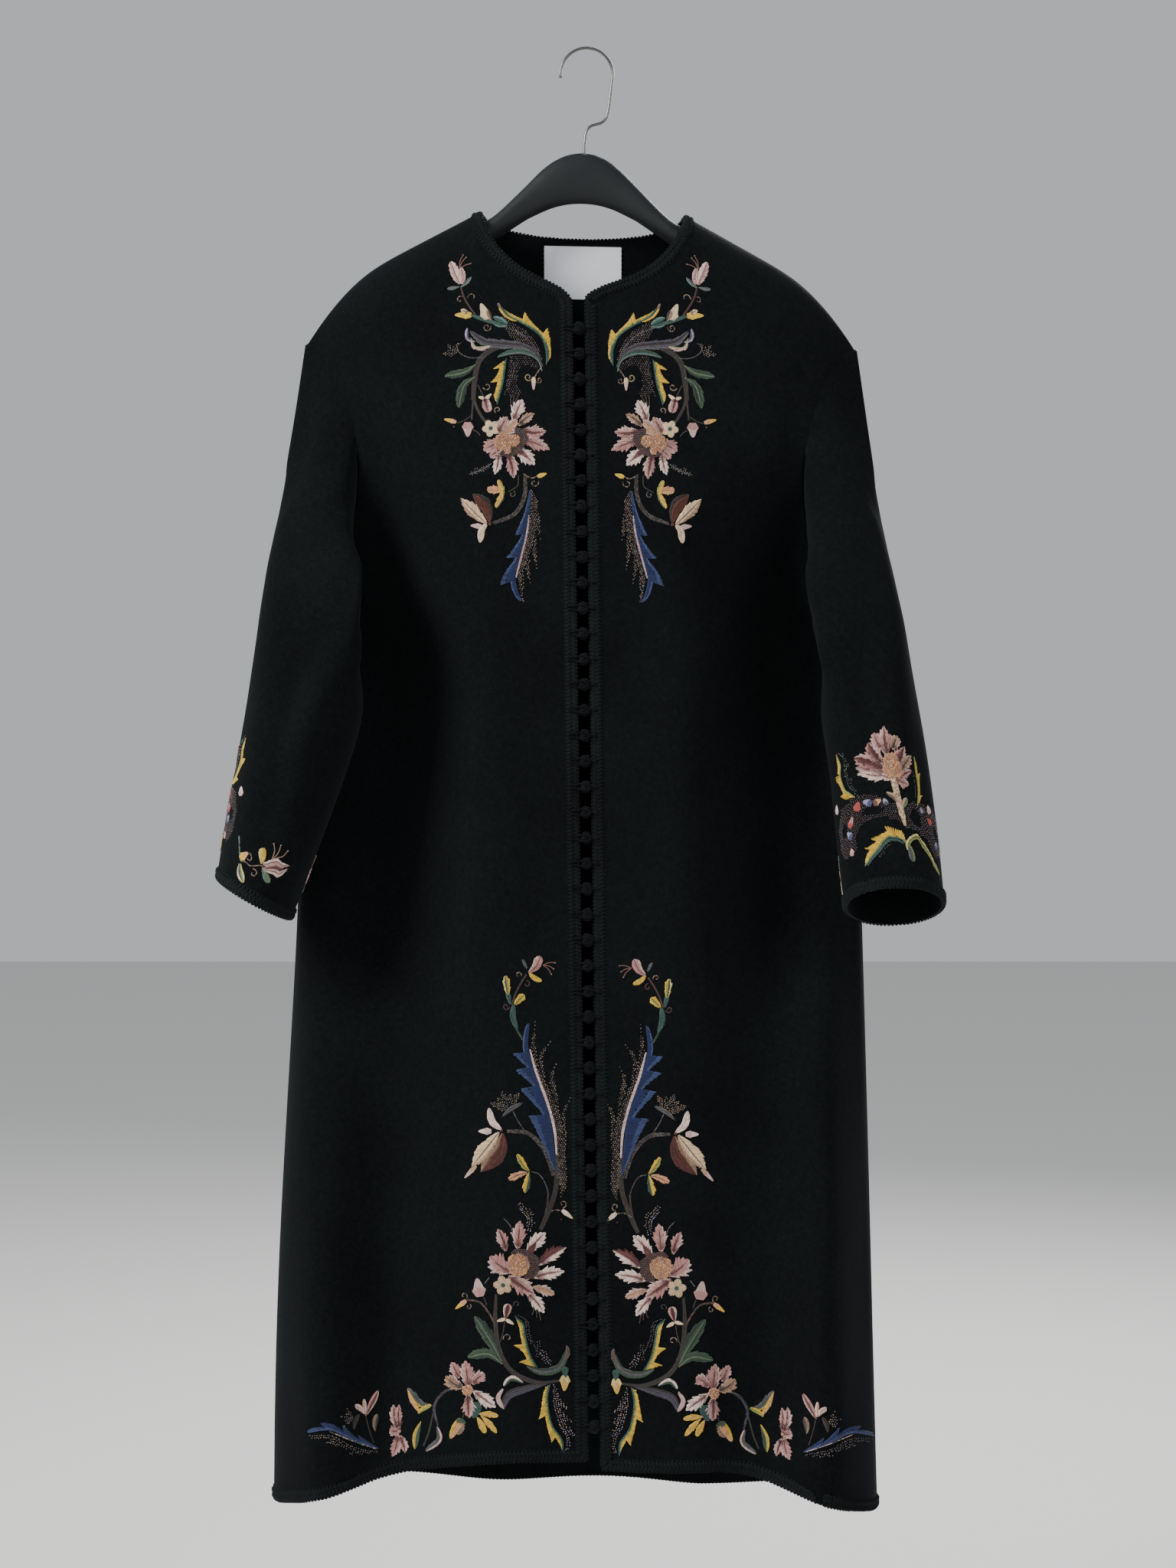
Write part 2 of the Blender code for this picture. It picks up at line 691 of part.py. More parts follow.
def build_hanger(plastic, steel):
    rows = [(row, -1) for row in ARMS[:0:-1]] + [(row, 1) for row in ARMS]
    bm = bmesh.new()
    rings = []
    for row, sign in rows:
        rings.append([bm.verts.new(point) for point in hanger_section(row, sign)])
    for first, second in zip(rings, rings[1:]):
        for m in range(HANGER_SIDES):
            n = (m + 1) % HANGER_SIDES
            bm.faces.new((first[m], first[n], second[n], second[m]))
    bm.faces.new(rings[0])
    bm.faces.new(rings[-1])
    bmesh.ops.recalc_face_normals(bm, faces=bm.faces)
    body = new_object("hanger_body", bm, plastic)

    cutter_bm = bmesh.new()
    bmesh.ops.create_cone(
        cutter_bm, cap_ends=True, segments=10, radius1=SOCKET_RADIUS, radius2=SOCKET_RADIUS,
        depth=2 * SOCKET_DEPTH)
    bmesh.ops.translate(cutter_bm, verts=cutter_bm.verts, vec=(STEM_X, 0.0, ARMS[0].top))
    cutter = new_object("socket_cutter", cutter_bm, steel, smooth=False)
    cutter.hide_render = True
    cutter.display_type = "WIRE"
    socket = body.modifiers.new("Hook socket", "BOOLEAN")
    socket.operation = "DIFFERENCE"
    socket.object = cutter


def hook_path():
    """Centre line of the wire: crook from its tip over the rail, shaft, jog and stem."""
    centre_x, centre_z = CROOK_CENTRE
    points = []
    for k in range(15):
        angle = mix(CROOK_TIP_ANGLE, CROOK_END_ANGLE, k / 14)
        points.append((centre_x + CROOK_RADIUS * math.cos(angle),
                       centre_z + CROOK_RADIUS * math.sin(angle)))
    start = points[-1]
    for k in (1, 2, 3):
        points.append((mix(start[0], SHAFT_FOOT[0], k / 3), mix(start[1], SHAFT_FOOT[1], k / 3)))
    points += [JOG_START, JOG_END, STEM_TOP]
    points += [(STEM_X, STEM_START_Z), (STEM_X, STEM_FOOT_Z)]
    return points


def build_hook(steel):
    path = hook_path()
    curve = bpy.data.curves.new("hanger_hook", "CURVE")
    curve.dimensions = "3D"
    spline = curve.splines.new("POLY")
    spline.points.add(len(path) - 1)
    for point, (x, z) in zip(spline.points, path):
        point.co = (x, 0.0, z, 1.0)
    curve.bevel_depth = WIRE_RADIUS
    curve.bevel_resolution = 2
    curve.use_fill_caps = True
    hook = bpy.data.objects.new("hanger_hook", curve)
    hook.data.materials.append(steel)
    bpy.context.scene.collection.objects.link(hook)


def main():
    for obj in list(bpy.data.objects):
        bpy.data.objects.remove(obj, do_unlink=True)
    cloth = new_material("felted_wool", (0.008, 0.009, 0.011), 0.92)
    braid = new_material("wool_braid", (0.010, 0.013, 0.014), 0.85)
    cord = new_material("button_cord", (0.012, 0.012, 0.014), 0.75)
    satin = new_material("label_satin", (0.78, 0.79, 0.86), 0.45)
    plastic = new_material("hanger_plastic", (0.030, 0.038, 0.045), 0.50)
    steel = new_material("hook_steel", (0.55, 0.55, 0.56), 0.25, 1.0)
    for side in ("left", "right"):
        build_front(side, cloth, braid)
        build_sleeve(side, cloth, braid)
    build_back(cloth, braid)
    build_label(satin)
    build_buttons(cord)
    build_hanger(plastic, steel)
    build_hook(steel)


main()
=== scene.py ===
import math
import random

import bmesh
import bpy
from mathutils import Matrix, Vector, noise
from mathutils.bvhtree import BVHTree
from mathutils.kdtree import KDTree


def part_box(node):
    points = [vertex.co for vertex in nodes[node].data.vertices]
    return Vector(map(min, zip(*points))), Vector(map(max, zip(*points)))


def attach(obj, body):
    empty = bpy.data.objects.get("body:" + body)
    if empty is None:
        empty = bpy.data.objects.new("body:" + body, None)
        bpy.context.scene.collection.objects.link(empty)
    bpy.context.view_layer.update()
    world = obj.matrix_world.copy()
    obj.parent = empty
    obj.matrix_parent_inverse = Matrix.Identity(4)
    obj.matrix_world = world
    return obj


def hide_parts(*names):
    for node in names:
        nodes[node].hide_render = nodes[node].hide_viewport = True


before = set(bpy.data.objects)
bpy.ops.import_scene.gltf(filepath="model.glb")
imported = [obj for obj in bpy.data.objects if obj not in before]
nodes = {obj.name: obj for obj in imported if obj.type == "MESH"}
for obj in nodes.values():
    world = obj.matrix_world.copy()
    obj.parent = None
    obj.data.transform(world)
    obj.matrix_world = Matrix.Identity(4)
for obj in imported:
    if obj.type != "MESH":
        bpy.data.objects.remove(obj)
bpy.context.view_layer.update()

# The photograph: metres to a pixel on the plane y = 0, the pixel of the origin, and its camera
pxSize = 0.000667
photo = {"origin": (766.0, 64.0), "camera": Vector((0.0013, -2.25, -0.640)), "lensMm": 59.3}


def clamp(value, low=0.0, high=1.0):
    return max(low, min(high, value))


def ease(value):
    value = clamp(value)
    return value * value * (3 - 2 * value)


def mix(a, b, share):
    return a + (b - a) * share


# Materials. Every helper adds nodes to a tree and returns the socket that comes out.

def setInputs(tree, node, inputs):
    for key, value in inputs.items():
        if isinstance(value, bpy.types.NodeSocket):
            tree.links.new(value, node.inputs[key])
        else:
            node.inputs[key].default_value = value


def addNode(tree, kind, inputs=None, **settings):
    node = tree.nodes.new("ShaderNode" + kind)
    for key, value in settings.items():
        setattr(node, key, value)
    setInputs(tree, node, inputs or {})
    return node


def objectPlace(tree):
    return addNode(tree, "TexCoord").outputs["Object"]


def noiseAt(tree, place, scale, detail=2.0, roughness=0.5, distortion=0.0):
    return addNode(tree, "TexNoise", {
        "Vector": place, "Scale": scale, "Detail": detail, "Roughness": roughness,
        "Distortion": distortion}).outputs["Fac"]


def waveAt(tree, place, scale, distortion, direction):
    return addNode(tree, "TexWave", {"Vector": place, "Scale": scale, "Distortion": distortion},
                   bands_direction=direction).outputs["Fac"]


def spread(tree, value, low, high, toLow, toHigh):
    return addNode(tree, "MapRange", {
        "Value": value, "From Min": low, "From Max": high, "To Min": toLow, "To Max": toHigh}).outputs[0]


def blend(tree, share, a, b, kind="MIX"):
    return addNode(tree, "Mix", {"Factor": share, "A": a, "B": b}, data_type="RGBA",
                   blend_type=kind).outputs["Result"]


def combine(tree, kind, a, b):
    return addNode(tree, "Math", {0: a, 1: b}, operation=kind).outputs[0]


def bumpOf(tree, height, strength, distance):
    return addNode(tree, "Bump", {
        "Height": height, "Strength": strength, "Distance": distance}).outputs["Normal"]


def newMaterial(name):
    material = bpy.data.materials.new(name)
    material.use_nodes = True
    return material, material.node_tree, material.node_tree.nodes["Principled BSDF"]


def makeNapGroup():
    # Felted wool: short matted hairs in two sizes, lighter lint, slow changes of shade
    group = bpy.data.node_groups.new("Wool nap", "ShaderNodeTree")
    for label, way, kind in (
            ("Base", "INPUT", "Color"), ("Lint", "INPUT", "Color"), ("Scale", "INPUT", "Float"),
            ("Bump", "INPUT", "Float"), ("Color", "OUTPUT", "Color"), ("Normal", "OUTPUT", "Vector")):
        group.interface.new_socket(label, in_out=way, socket_type="NodeSocket" + kind)
    given, made = group.nodes.new("NodeGroupInput").outputs, group.nodes.new("NodeGroupOutput")
    place = addNode(group, "VectorMath", {0: objectPlace(group), "Scale": given["Scale"]},
                    operation="SCALE").outputs[0]
    hairs = noiseAt(group, place, 900.0, 3.0, 0.65, 1.6)
    clumps = noiseAt(group, place, 260.0, 4.0, 0.6, 0.8)
    slow = noiseAt(group, place, 9.0, 3.0)
    stretched = addNode(group, "Mapping", {"Vector": place, "Scale": (420.0, 420.0, 140.0)})
    fibres = noiseAt(group, stretched.outputs["Vector"], 1.0, 2.0, 0.5, 2.2)
    lint = combine(group, "MAXIMUM", spread(group, hairs, 0.56, 0.80, 0.0, 0.85),
                   spread(group, clumps, 0.35, 0.70, 0.0, 0.42))
    colour = blend(group, lint, given["Base"], given["Lint"])
    setInputs(group, made, {
        "Color": blend(group, 1.0, colour, spread(group, slow, 0.3, 0.7, 0.80, 1.22), "MULTIPLY"),
        "Normal": bumpOf(group, combine(group, "ADD", hairs, fibres), given["Bump"], 0.0006)})
    return group


napGroup = makeNapGroup()


def woolMaterial(name, look):
    material, tree, shader = newMaterial(name)
    nap = addNode(tree, "Group", {
        "Base": (*look["base"], 1), "Lint": (*look["lint"], 1), "Scale": look["scale"], "Bump": look["bump"]},
        node_tree=napGroup)
    setInputs(tree, shader, {
        "Base Color": nap.outputs["Color"], "Normal": nap.outputs["Normal"], "Roughness": look["roughness"],
        "Specular IOR Level": 0.05, "Sheen Weight": 0.028, "Sheen Roughness": 0.45,
        "Sheen Tint": (0.80, 0.88, 1.0, 1)})
    return material


def finish(piece, material, replaced=()):
    piece.data.materials.append(material)
    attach(piece, "root")
    if replaced:
        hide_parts(*replaced)
    return piece


def objectFrom(name, bm, smoothAngle=50.0):
    mesh = bpy.data.meshes.new(name)
    bm.to_mesh(mesh)
    bm.free()
    mesh.shade_smooth()
    mesh.set_sharp_from_angle(angle=math.radians(smoothAngle))
    obj = bpy.data.objects.new(name, mesh)
    bpy.context.scene.collection.objects.link(obj)
    return obj


def areaOf(obj):
    return sum(face.area for face in obj.data.polygons)


def treeOf(*objs):
    points, faces = [], []
    for obj in objs:
        base = len(points)
        points += [vert.co.copy() for vert in obj.data.vertices]
        faces += [[base + i for i in face.vertices] for face in obj.data.polygons]
    return BVHTree.FromPolygons(points, faces)


# Cloth: each panel is its CAD wall, smoothed and creased

clothLook = {
    "base": (0.0028, 0.0035, 0.0038), "lint": (0.0090, 0.0105, 0.0112), "scale": 1.0, "bump": 0.5,
    "roughness": 0.95}

sharpAngle = 0.80  # edges of a wall that stay sharp, in radians
rimAngle = 0.60  # edges that a braid can follow


def isSharp(edge, angle=sharpAngle):
    return len(edge.link_faces) == 2 and edge.calc_face_angle() > angle


def subdivided(name, source, levels):
    bm = bmesh.new()
    bm.from_mesh(nodes[source].data)
    bmesh.ops.remove_doubles(bm, verts=bm.verts, dist=2e-5)
    bmesh.ops.join_triangles(
        bm, faces=bm.faces, angle_face_threshold=0.5, angle_shape_threshold=1.3,
        cmp_seam=False, cmp_sharp=False, cmp_uvs=False, cmp_vcols=False, cmp_materials=False)
    crease = bm.edges.layers.float.new("crease_edge")
    for edge in bm.edges:
        if isSharp(edge):
            edge[crease] = 1.0
    rough = objectFrom(name + "Rough", bm)
    modifier = rough.modifiers.new("Smooth", "SUBSURF")
    modifier.levels = modifier.render_levels = levels
    mesh = bpy.data.meshes.new_from_object(rough.evaluated_get(bpy.context.evaluated_depsgraph_get()))
    bpy.data.objects.remove(rough)
    mesh.name = name
    smooth = bpy.data.objects.new(name, mesh)
    bpy.context.scene.collection.objects.link(smooth)
    return smooth


# Creases of each piece: x and z of both ends, half width, depth outwards (+) or inwards (-)
creases = {
    "frontLeft": [
        (-0.232, -0.700, -0.238, -1.230, 0.022, 0.0062), (-0.168, -0.540, -0.176, -1.240, 0.036, -0.0075),
        (-0.080, -0.560, -0.074, -1.230, 0.040, 0.0046), (-0.196, -0.300, -0.120, -0.610, 0.026, -0.0046),
        (-0.158, -0.330, -0.082, -0.700, 0.030, 0.0036), (-0.212, -0.430, -0.196, -0.700, 0.018, 0.0034),
        (-0.045, -0.360, -0.050, -0.800, 0.026, -0.0022), (-0.132, -0.860, -0.128, -1.220, 0.018, 0.0026)],
    "frontRight": [
        (0.198, -0.300, 0.206, -0.760, 0.024, -0.0080), (0.206, -0.740, 0.200, -1.240, 0.018, 0.0064),
        (0.166, -0.620, 0.170, -1.230, 0.022, -0.0056), (0.232, -0.780, 0.240, -1.240, 0.016, -0.0046),
        (0.160, -0.320, 0.096, -0.640, 0.028, 0.0036), (0.118, -0.560, 0.108, -1.220, 0.032, 0.0044),
        (0.048, -0.420, 0.050, -0.900, 0.026, -0.0024), (0.054, -0.860, 0.060, -1.220, 0.024, -0.0030)],
    "backPanel": [
        (-0.170, -0.340, -0.100, -0.640, 0.030, -0.0052), (0.160, -0.340, 0.108, -0.620, 0.028, -0.0048),
        (-0.060, -0.420, -0.040, -0.860, 0.034, 0.0040), (0.058, -0.460, 0.070, -0.900, 0.032, 0.0036),
        (-0.130, -0.700, -0.150, -1.250, 0.026, -0.0072), (0.006, -0.640, -0.006, -1.250, 0.026, -0.0066),
        (0.140, -0.720, 0.150, -1.250, 0.024, -0.0070), (-0.205, -0.760, -0.222, -1.240, 0.020, 0.0060),
        (0.206, -0.780, 0.216, -1.240, 0.020, 0.0064), (-0.080, -0.900, -0.086, -1.250, 0.024, 0.0052),
        (0.078, -0.900, 0.082, -1.250, 0.024, 0.0054)],
    "sleeveLeft": [
        (-0.246, -0.290, -0.266, -0.520, 0.016, -0.0040), (-0.262, -0.400, -0.287, -0.660, 0.017, 0.0036),
        (-0.240, -0.500, -0.262, -0.730, 0.013, -0.0044), (-0.280, -0.540, -0.306, -0.720, 0.014, -0.0030),
        (-0.214, -0.500, -0.252, -0.580, 0.012, -0.0040), (-0.214, -0.540, -0.246, -0.622, 0.010, 0.0028)],
    "sleeveRight": [
        (0.236, -0.290, 0.256, -0.500, 0.016, -0.0042), (0.252, -0.410, 0.270, -0.640, 0.016, 0.0036),
        (0.230, -0.480, 0.244, -0.710, 0.013, -0.0044), (0.270, -0.520, 0.292, -0.700, 0.014, -0.0032),
        (0.208, -0.510, 0.238, -0.590, 0.012, -0.0036), (0.210, -0.552, 0.238, -0.630, 0.010, 0.0026)],
}
creaseStrength = 1.3
# Slow unevenness between them: its height, its waves along x and z, and its own seed
unevenness = ((0.0010, 11.0, 7.0, 0.0), (0.0006, 31.0, 22.0, 5.0))


def creaseDepth(co, rows, seed):
    total = 0.0
    for index, (x0, z0, x1, z1, half, depth) in enumerate(rows):
        span = (x1 - x0) ** 2 + (z1 - z0) ** 2
        along = clamp(((co.x - x0) * (x1 - x0) + (co.z - z0) * (z1 - z0)) / span, -0.2, 1.2)
        wander = 0.012 * noise.noise(Vector((seed + index * 3.1, co.z * 5.0, 0.0)))
        across = abs(co.x - mix(x0, x1, along) + wander) / half
        if across > 2.6:
            continue
        fade = ease((along + 0.2) / 0.45) * ease((1.2 - along) / 0.45)
        uneven = 0.75 + 0.5 * noise.noise(Vector((co.z * 7.0, seed, index * 1.7)))
        total += depth * fade * uneven * math.exp(-across * across)
    return total


sleeveAxes = {}
axisSteps = 24


def layAxis(name, source):
    # Middle of a sleeve at even heights
    points = [vert.co for vert in nodes[source].data.vertices]
    top = max(point.z for point in points)
    low = min(point.z for point in points)
    rows = []
    for k in range(axisSteps):
        z = mix(top, low, k / (axisSteps - 1))
        near = [point for point in points if abs(point.z - z) < 0.022]
        xs = [point.x for point in near]
        ys = [point.y for point in near]
        rows.append(Vector(((max(xs) + min(xs)) / 2, (max(ys) + min(ys)) / 2, z)))
    sleeveAxes[name] = []
    for k, row in enumerate(rows):
        smooth = rows[max(0, k - 1)].lerp(rows[min(axisSteps - 1, k + 1)], 0.5).lerp(row, 0.5)
        smooth.z = row.z
        sleeveAxes[name].append(smooth)


def axisPoint(name, z):
    rows = sleeveAxes[name]
    if z >= rows[0].z:
        return rows[0]
    for upper, lower in zip(rows, rows[1:]):
        if z >= lower.z:
            return upper.lerp(lower, (upper.z - z) / (upper.z - lower.z))
    return rows[-1]


def outwardOf(name, co):
    if name.startswith("front"):
        return Vector((0, -1, 0))
    if name == "backPanel":
        return Vector((0, 1, 0))
    away = co - axisPoint(name, co.z)
    away.z = 0
    return away.normalized()


def crumple(obj, rows, seed, fadeLength):
    # Moves both faces of a wall together by its creases and a slow unevenness, not at its sharp edges
    mesh = obj.data
    bm = bmesh.new()
    bm.from_mesh(mesh)
    rim = [vert.co.copy() for vert in bm.verts if any(isSharp(edge) for edge in vert.link_edges)]
    bm.free()
    rimTree = KDTree(len(rim))
    for index, co in enumerate(rim):
        rimTree.insert(co, index)
    rimTree.balance()
    for vert in mesh.vertices:
        co = vert.co
        weight = ease(rimTree.find(co)[2] / fadeLength)
        if weight <= 0:
            continue
        slow = sum(height * noise.noise(Vector((co.x * alongX, co.z * alongZ, seed + offset)))
                   for height, alongX, alongZ, offset in unevenness)
        depth = weight * (creaseStrength * creaseDepth(co, rows, seed) + slow)
        away = outwardOf(obj.name, co)
        if obj.name.startswith("sleeve"):
            depth *= mix(0.12, 1.0, ease(abs(away.y) / 0.8))  # the outline seen from the front stays even
        vert.co = co + away * depth
    mesh.update()


def braidFace(name, co):
    # Direction away from the body on a panel's outer face, also near its sides and shoulders
    away = outwardOf(name, co)
    if name.startswith("sleeve"):
        return away
    return (away + Vector((1.2 * (co.x / 0.27) ** 3, 0, 0.8 if co.z > -0.4 else 0.0))).normalized()


def outerRim(obj):
    # Sharp outer edges of a panel before it is creased, without its seams: vertex numbers and places
    bm = bmesh.new()
    bm.from_mesh(obj.data)
    found = []
    for edge in bm.edges:
        if not isSharp(edge, rimAngle):
            continue
        a, b = edge.verts
        middle = (a.co + b.co) / 2
        facing = sum((face.normal for face in edge.link_faces), Vector()).dot(braidFace(obj.name, middle))
        seam = abs(middle.y) < 0.012 and any(abs(face.normal.y) > 0.85 for face in edge.link_faces)
        if facing > 0 and (obj.name.startswith("sleeve") or not seam):
            found.append((a.index, b.index, a.co.copy(), b.co.copy()))
    bm.free()
    return found


seamReach = 0.0014  # widest seam gap that is closed
seamOverlap = 0.0002


def closeSeam(obj, *others):
    # Carries a panel's edge faces across the thin seam gap and a little into the panels next to it
    tree = treeOf(*others)
    mesh = obj.data
    moves = {}
    for face in mesh.polygons:
        hit, _, _, distance = tree.ray_cast(face.center + face.normal * 1e-5, face.normal, seamReach)
        if hit is not None:
            for k in face.vertices:
                moves.setdefault(k, []).append(face.normal * (distance + seamOverlap))
    for k, ways in moves.items():
        mesh.vertices[k].co += sum(ways, Vector()) / len(ways)
    mesh.update()
    print("seam", obj.name, len(moves))


wool = woolMaterial("feltedWool", clothLook)
cloth, cadRims = {}, {}
for name, source, seed, fade in (
        ("frontLeft", "front_left", 1.3, 0.030), ("frontRight", "front_right", 4.1, 0.030),
        ("backPanel", "back", 7.7, 0.030), ("sleeveLeft", "sleeve_left", 11.2, 0.025),
        ("sleeveRight", "sleeve_right", 15.9, 0.025)):
    if name.startswith("sleeve"):
        layAxis(name, source)
    piece = subdivided(name, source, 2)
    cadRims[name] = outerRim(piece)
    crumple(piece, creases[name], seed, fade)
    cloth[name] = finish(piece, wool, (source,))
    print("cloth", name, len(piece.data.polygons), round(areaOf(piece) / 2, 4))
closeSeam(cloth["frontLeft"], cloth["backPanel"])
closeSeam(cloth["frontRight"], cloth["backPanel"])
closeSeam(cloth["sleeveLeft"], cloth["frontLeft"], cloth["backPanel"])
closeSeam(cloth["sleeveRight"], cloth["frontRight"], cloth["backPanel"])


# Embroidery: stitches are drawn flat in photo pixels, then laid onto the cloth one by one.
# A line or outline is x, y, x, y ...; colours are names of threads in one string.

threads = {
    "pink": (0.40, 0.205, 0.185), "palePink": (0.50, 0.33, 0.30), "blush": (0.66, 0.51, 0.45),
    "rosewood": (0.135, 0.048, 0.042), "burgundy": (0.070, 0.016, 0.015), "wine": (0.082, 0.022, 0.014),
    "red": (0.36, 0.055, 0.045), "rust": (0.13, 0.055, 0.042), "peach": (0.52, 0.27, 0.145),
    "apricot": (0.60, 0.34, 0.13), "sand": (0.38, 0.235, 0.155), "cream": (0.64, 0.48, 0.30),
    "yellow": (0.58, 0.37, 0.038), "paleYellow": (0.60, 0.47, 0.17), "lime": (0.24, 0.26, 0.060),
    "green": (0.033, 0.062, 0.036), "sage": (0.135, 0.18, 0.095), "darkGreen": (0.018, 0.035, 0.023),
    "teal": (0.025, 0.068, 0.055), "paleTeal": (0.10, 0.17, 0.14), "blue": (0.0105, 0.0205, 0.080),
    "paleBlue": (0.034, 0.054, 0.138), "grey": (0.080, 0.078, 0.080), "purple": (0.062, 0.052, 0.075),
    "mauve": (0.150, 0.118, 0.128), "lavender": (0.27, 0.23, 0.34), "brown": (0.040, 0.027, 0.021),
    "tan": (0.22, 0.145, 0.095), "taupe": (0.088, 0.067, 0.056), "darkBrown": (0.021, 0.0155, 0.0135),
}
petalLooks = {  # bands of both halves, and the vein
    "pale": ("pink 0.2 blush", "palePink 0.16 blush", "rosewood"),
    "rose": ("pink 0.45 palePink", "rosewood 0.34 pink", "burgundy"),
    "dusty": ("pink 0.6 palePink", "pink", "rosewood"),
    "sand": ("tan 0.45 sand", "sand 0.8 palePink", "brown"),
    "peachy": ("sand 0.5 palePink", "peach 0.6 palePink", "sand"),
    "wine": ("rosewood 0.62 pink", "burgundy 0.45 palePink", "burgundy"),
    "shade": ("rosewood 0.7 burgundy", "pink 0.25 blush", "burgundy"),
    "cream": ("cream", "cream", "tan"),
}

draw = random.Random(41)
stitches = []
knots = []


def threadMaterial():
    # Stitch colour from the mesh, fine twist, soft lustre
    material, tree, shader = newMaterial("embroideryThread")
    tint = addNode(tree, "VertexColor", layer_name="Col").outputs["Color"]
    grain = noiseAt(tree, objectPlace(tree), 1500.0)
    twist = addNode(tree, "UVMap", uv_map="twist").outputs["UV"]
    height = combine(tree, "ADD", grain, waveAt(tree, twist, 1.3, 0.6, "DIAGONAL"))
    setInputs(tree, shader, {
        "Base Color": blend(tree, 1.0, tint, spread(tree, grain, 0.3, 0.7, 0.80, 1.14), "MULTIPLY"),
        "Normal": bumpOf(tree, height, 0.35, 0.0003), "Roughness": 0.58, "Specular IOR Level": 0.35,
        "Sheen Weight": 0.25, "Sheen Roughness": 0.4})
    return material


threadLook = threadMaterial()


def pairs(line):
    return list(zip(line[::2], line[1::2]))


def both(value):
    return value if isinstance(value, tuple) else (value, value)


def between(a, b, share):
    return tuple(mix(p, q, share) for p, q in zip(a, b))


def shifted(place, way, reach):
    return (place[0] + way[0] * reach, place[1] + way[1] * reach)


def spoke(centre, angle, reach):
    return (centre[0] + reach * math.cos(angle), centre[1] + reach * math.sin(angle))


def bowed(a, b, share, bend):
    # A place between two others, carried sideways by a share of their distance
    x, y = between(a, b, share)
    return (x + bend * (b[1] - a[1]), y - bend * (b[0] - a[0]))


def tinted(colour, spread):
    # A thread colour with the small change of shade from one stitch to the next
    red, green, blue = threads[colour]
    factor = 1 + draw.uniform(-spread, spread)
    warm = draw.uniform(-0.03, 0.03)
    return (clamp(red * factor * (1 + warm)), clamp(green * factor), clamp(blue * factor * (1 - warm)))


def stitch(a, b, colour, width, rise, layer, spread=0.16):
    stitches.append((a, b, width, rise, tinted(colour, spread), layer))


def knot(place, radius, colour, layer=1):
    knots.append((place, radius, tinted(colour, 0.10), layer))


def placeOn(lengths, goal, k=0):
    # Which stretch of a line holds a length along it, counted from stretch k on, and the share of it
    while k < len(lengths) - 2 and lengths[k + 1] < goal:
        k += 1
    return k, (goal - lengths[k]) / max(1e-9, lengths[k + 1] - lengths[k])


def curvePoints(line, count):
    # Smooth curve through a few flat points, at even steps of its length
    points = pairs(line)
    padded = [between(points[1], points[0], 2), *points, between(points[-2], points[-1], 2)]
    fine = []
    for k in range(len(points) - 1):
        for m in range(12):
            t = m / 12
            fine.append(tuple(
                0.5 * (2 * b + (c - a) * t + (2 * a - 5 * b + 4 * c - d) * t * t
                       + (3 * b - a - 3 * c + d) * t ** 3)
                for a, b, c, d in zip(*padded[k:k + 4])))
    fine.append(points[-1])
    lengths = [0.0]
    for a, b in zip(fine, fine[1:]):
        lengths.append(lengths[-1] + math.dist(a, b))
    out = []
    k = 0
    for m in range(count):
        k, share = placeOn(lengths, lengths[-1] * m / (count - 1), k)
        out.append(between(fine[k], fine[k + 1], clamp(share)))
    return out, lengths[-1]


def pointAt(points, t):
    place = clamp(t) * (len(points) - 1)
    k = min(int(place), len(points) - 2)
    return between(points[k], points[k + 1], place - k)


def unitWay(a, b):
    length = max(1e-9, math.dist(a, b))
    return ((b[0] - a[0]) / length, (b[1] - a[1]) / length)


def normalAt(points, t):
    # Unit direction to the left of the curve's travel, as it is seen
    way = unitWay(pointAt(points, t - 0.03), pointAt(points, t + 0.03))
    return (way[1], -way[0])


def envelope(t, width, shape):
    # Half width of a leaf or petal at t of its length
    t = clamp(t)
    if shape == "lance":
        return width * ((t / 0.42) ** 0.5 if t < 0.42 else 1 - ((t - 0.42) / 0.58) ** 1.28)
    if shape == "grow":
        return width * (0.36 + 0.64 * t / 0.8 if t < 0.8 else ((1 - t) / 0.2) ** 0.6)
    if shape == "band":
        return width * min(1.0, t / 0.10, ((1 - t) / 0.22) ** 0.8)
    return width * max(0.0, math.sin(math.pi * t ** shape[0])) ** shape[1]


def toothed(t, teeth):
    # Share of the half width at t; teeth is a number or a tuple of places, the depth, and the tooth's curve
    places, depth = teeth[:2]
    if not places:
        return 1.0
    if isinstance(places, int):
        phase = (t * places) % 1.0
    else:
        before = max([0.0] + [place for place in places if place <= t])
        after = min([1.0] + [place for place in places if place > t])
        phase = (t - before) / max(1e-6, after - before)
        if after == 1.0:
            phase *= 0.4
    power = teeth[2] if len(teeth) > 2 else 0.8
    return 1 - depth + depth * 1.25 * phase ** power


def bandsOf(text):
    # "teal 2.6 lime 4.2 yellow": each colour with its end, a share of the reach up to 1 and pixels above 1
    words = text.split()
    return [(float(upto), colour) for colour, upto in zip(words[::2], words[1::2] + ["1"])]


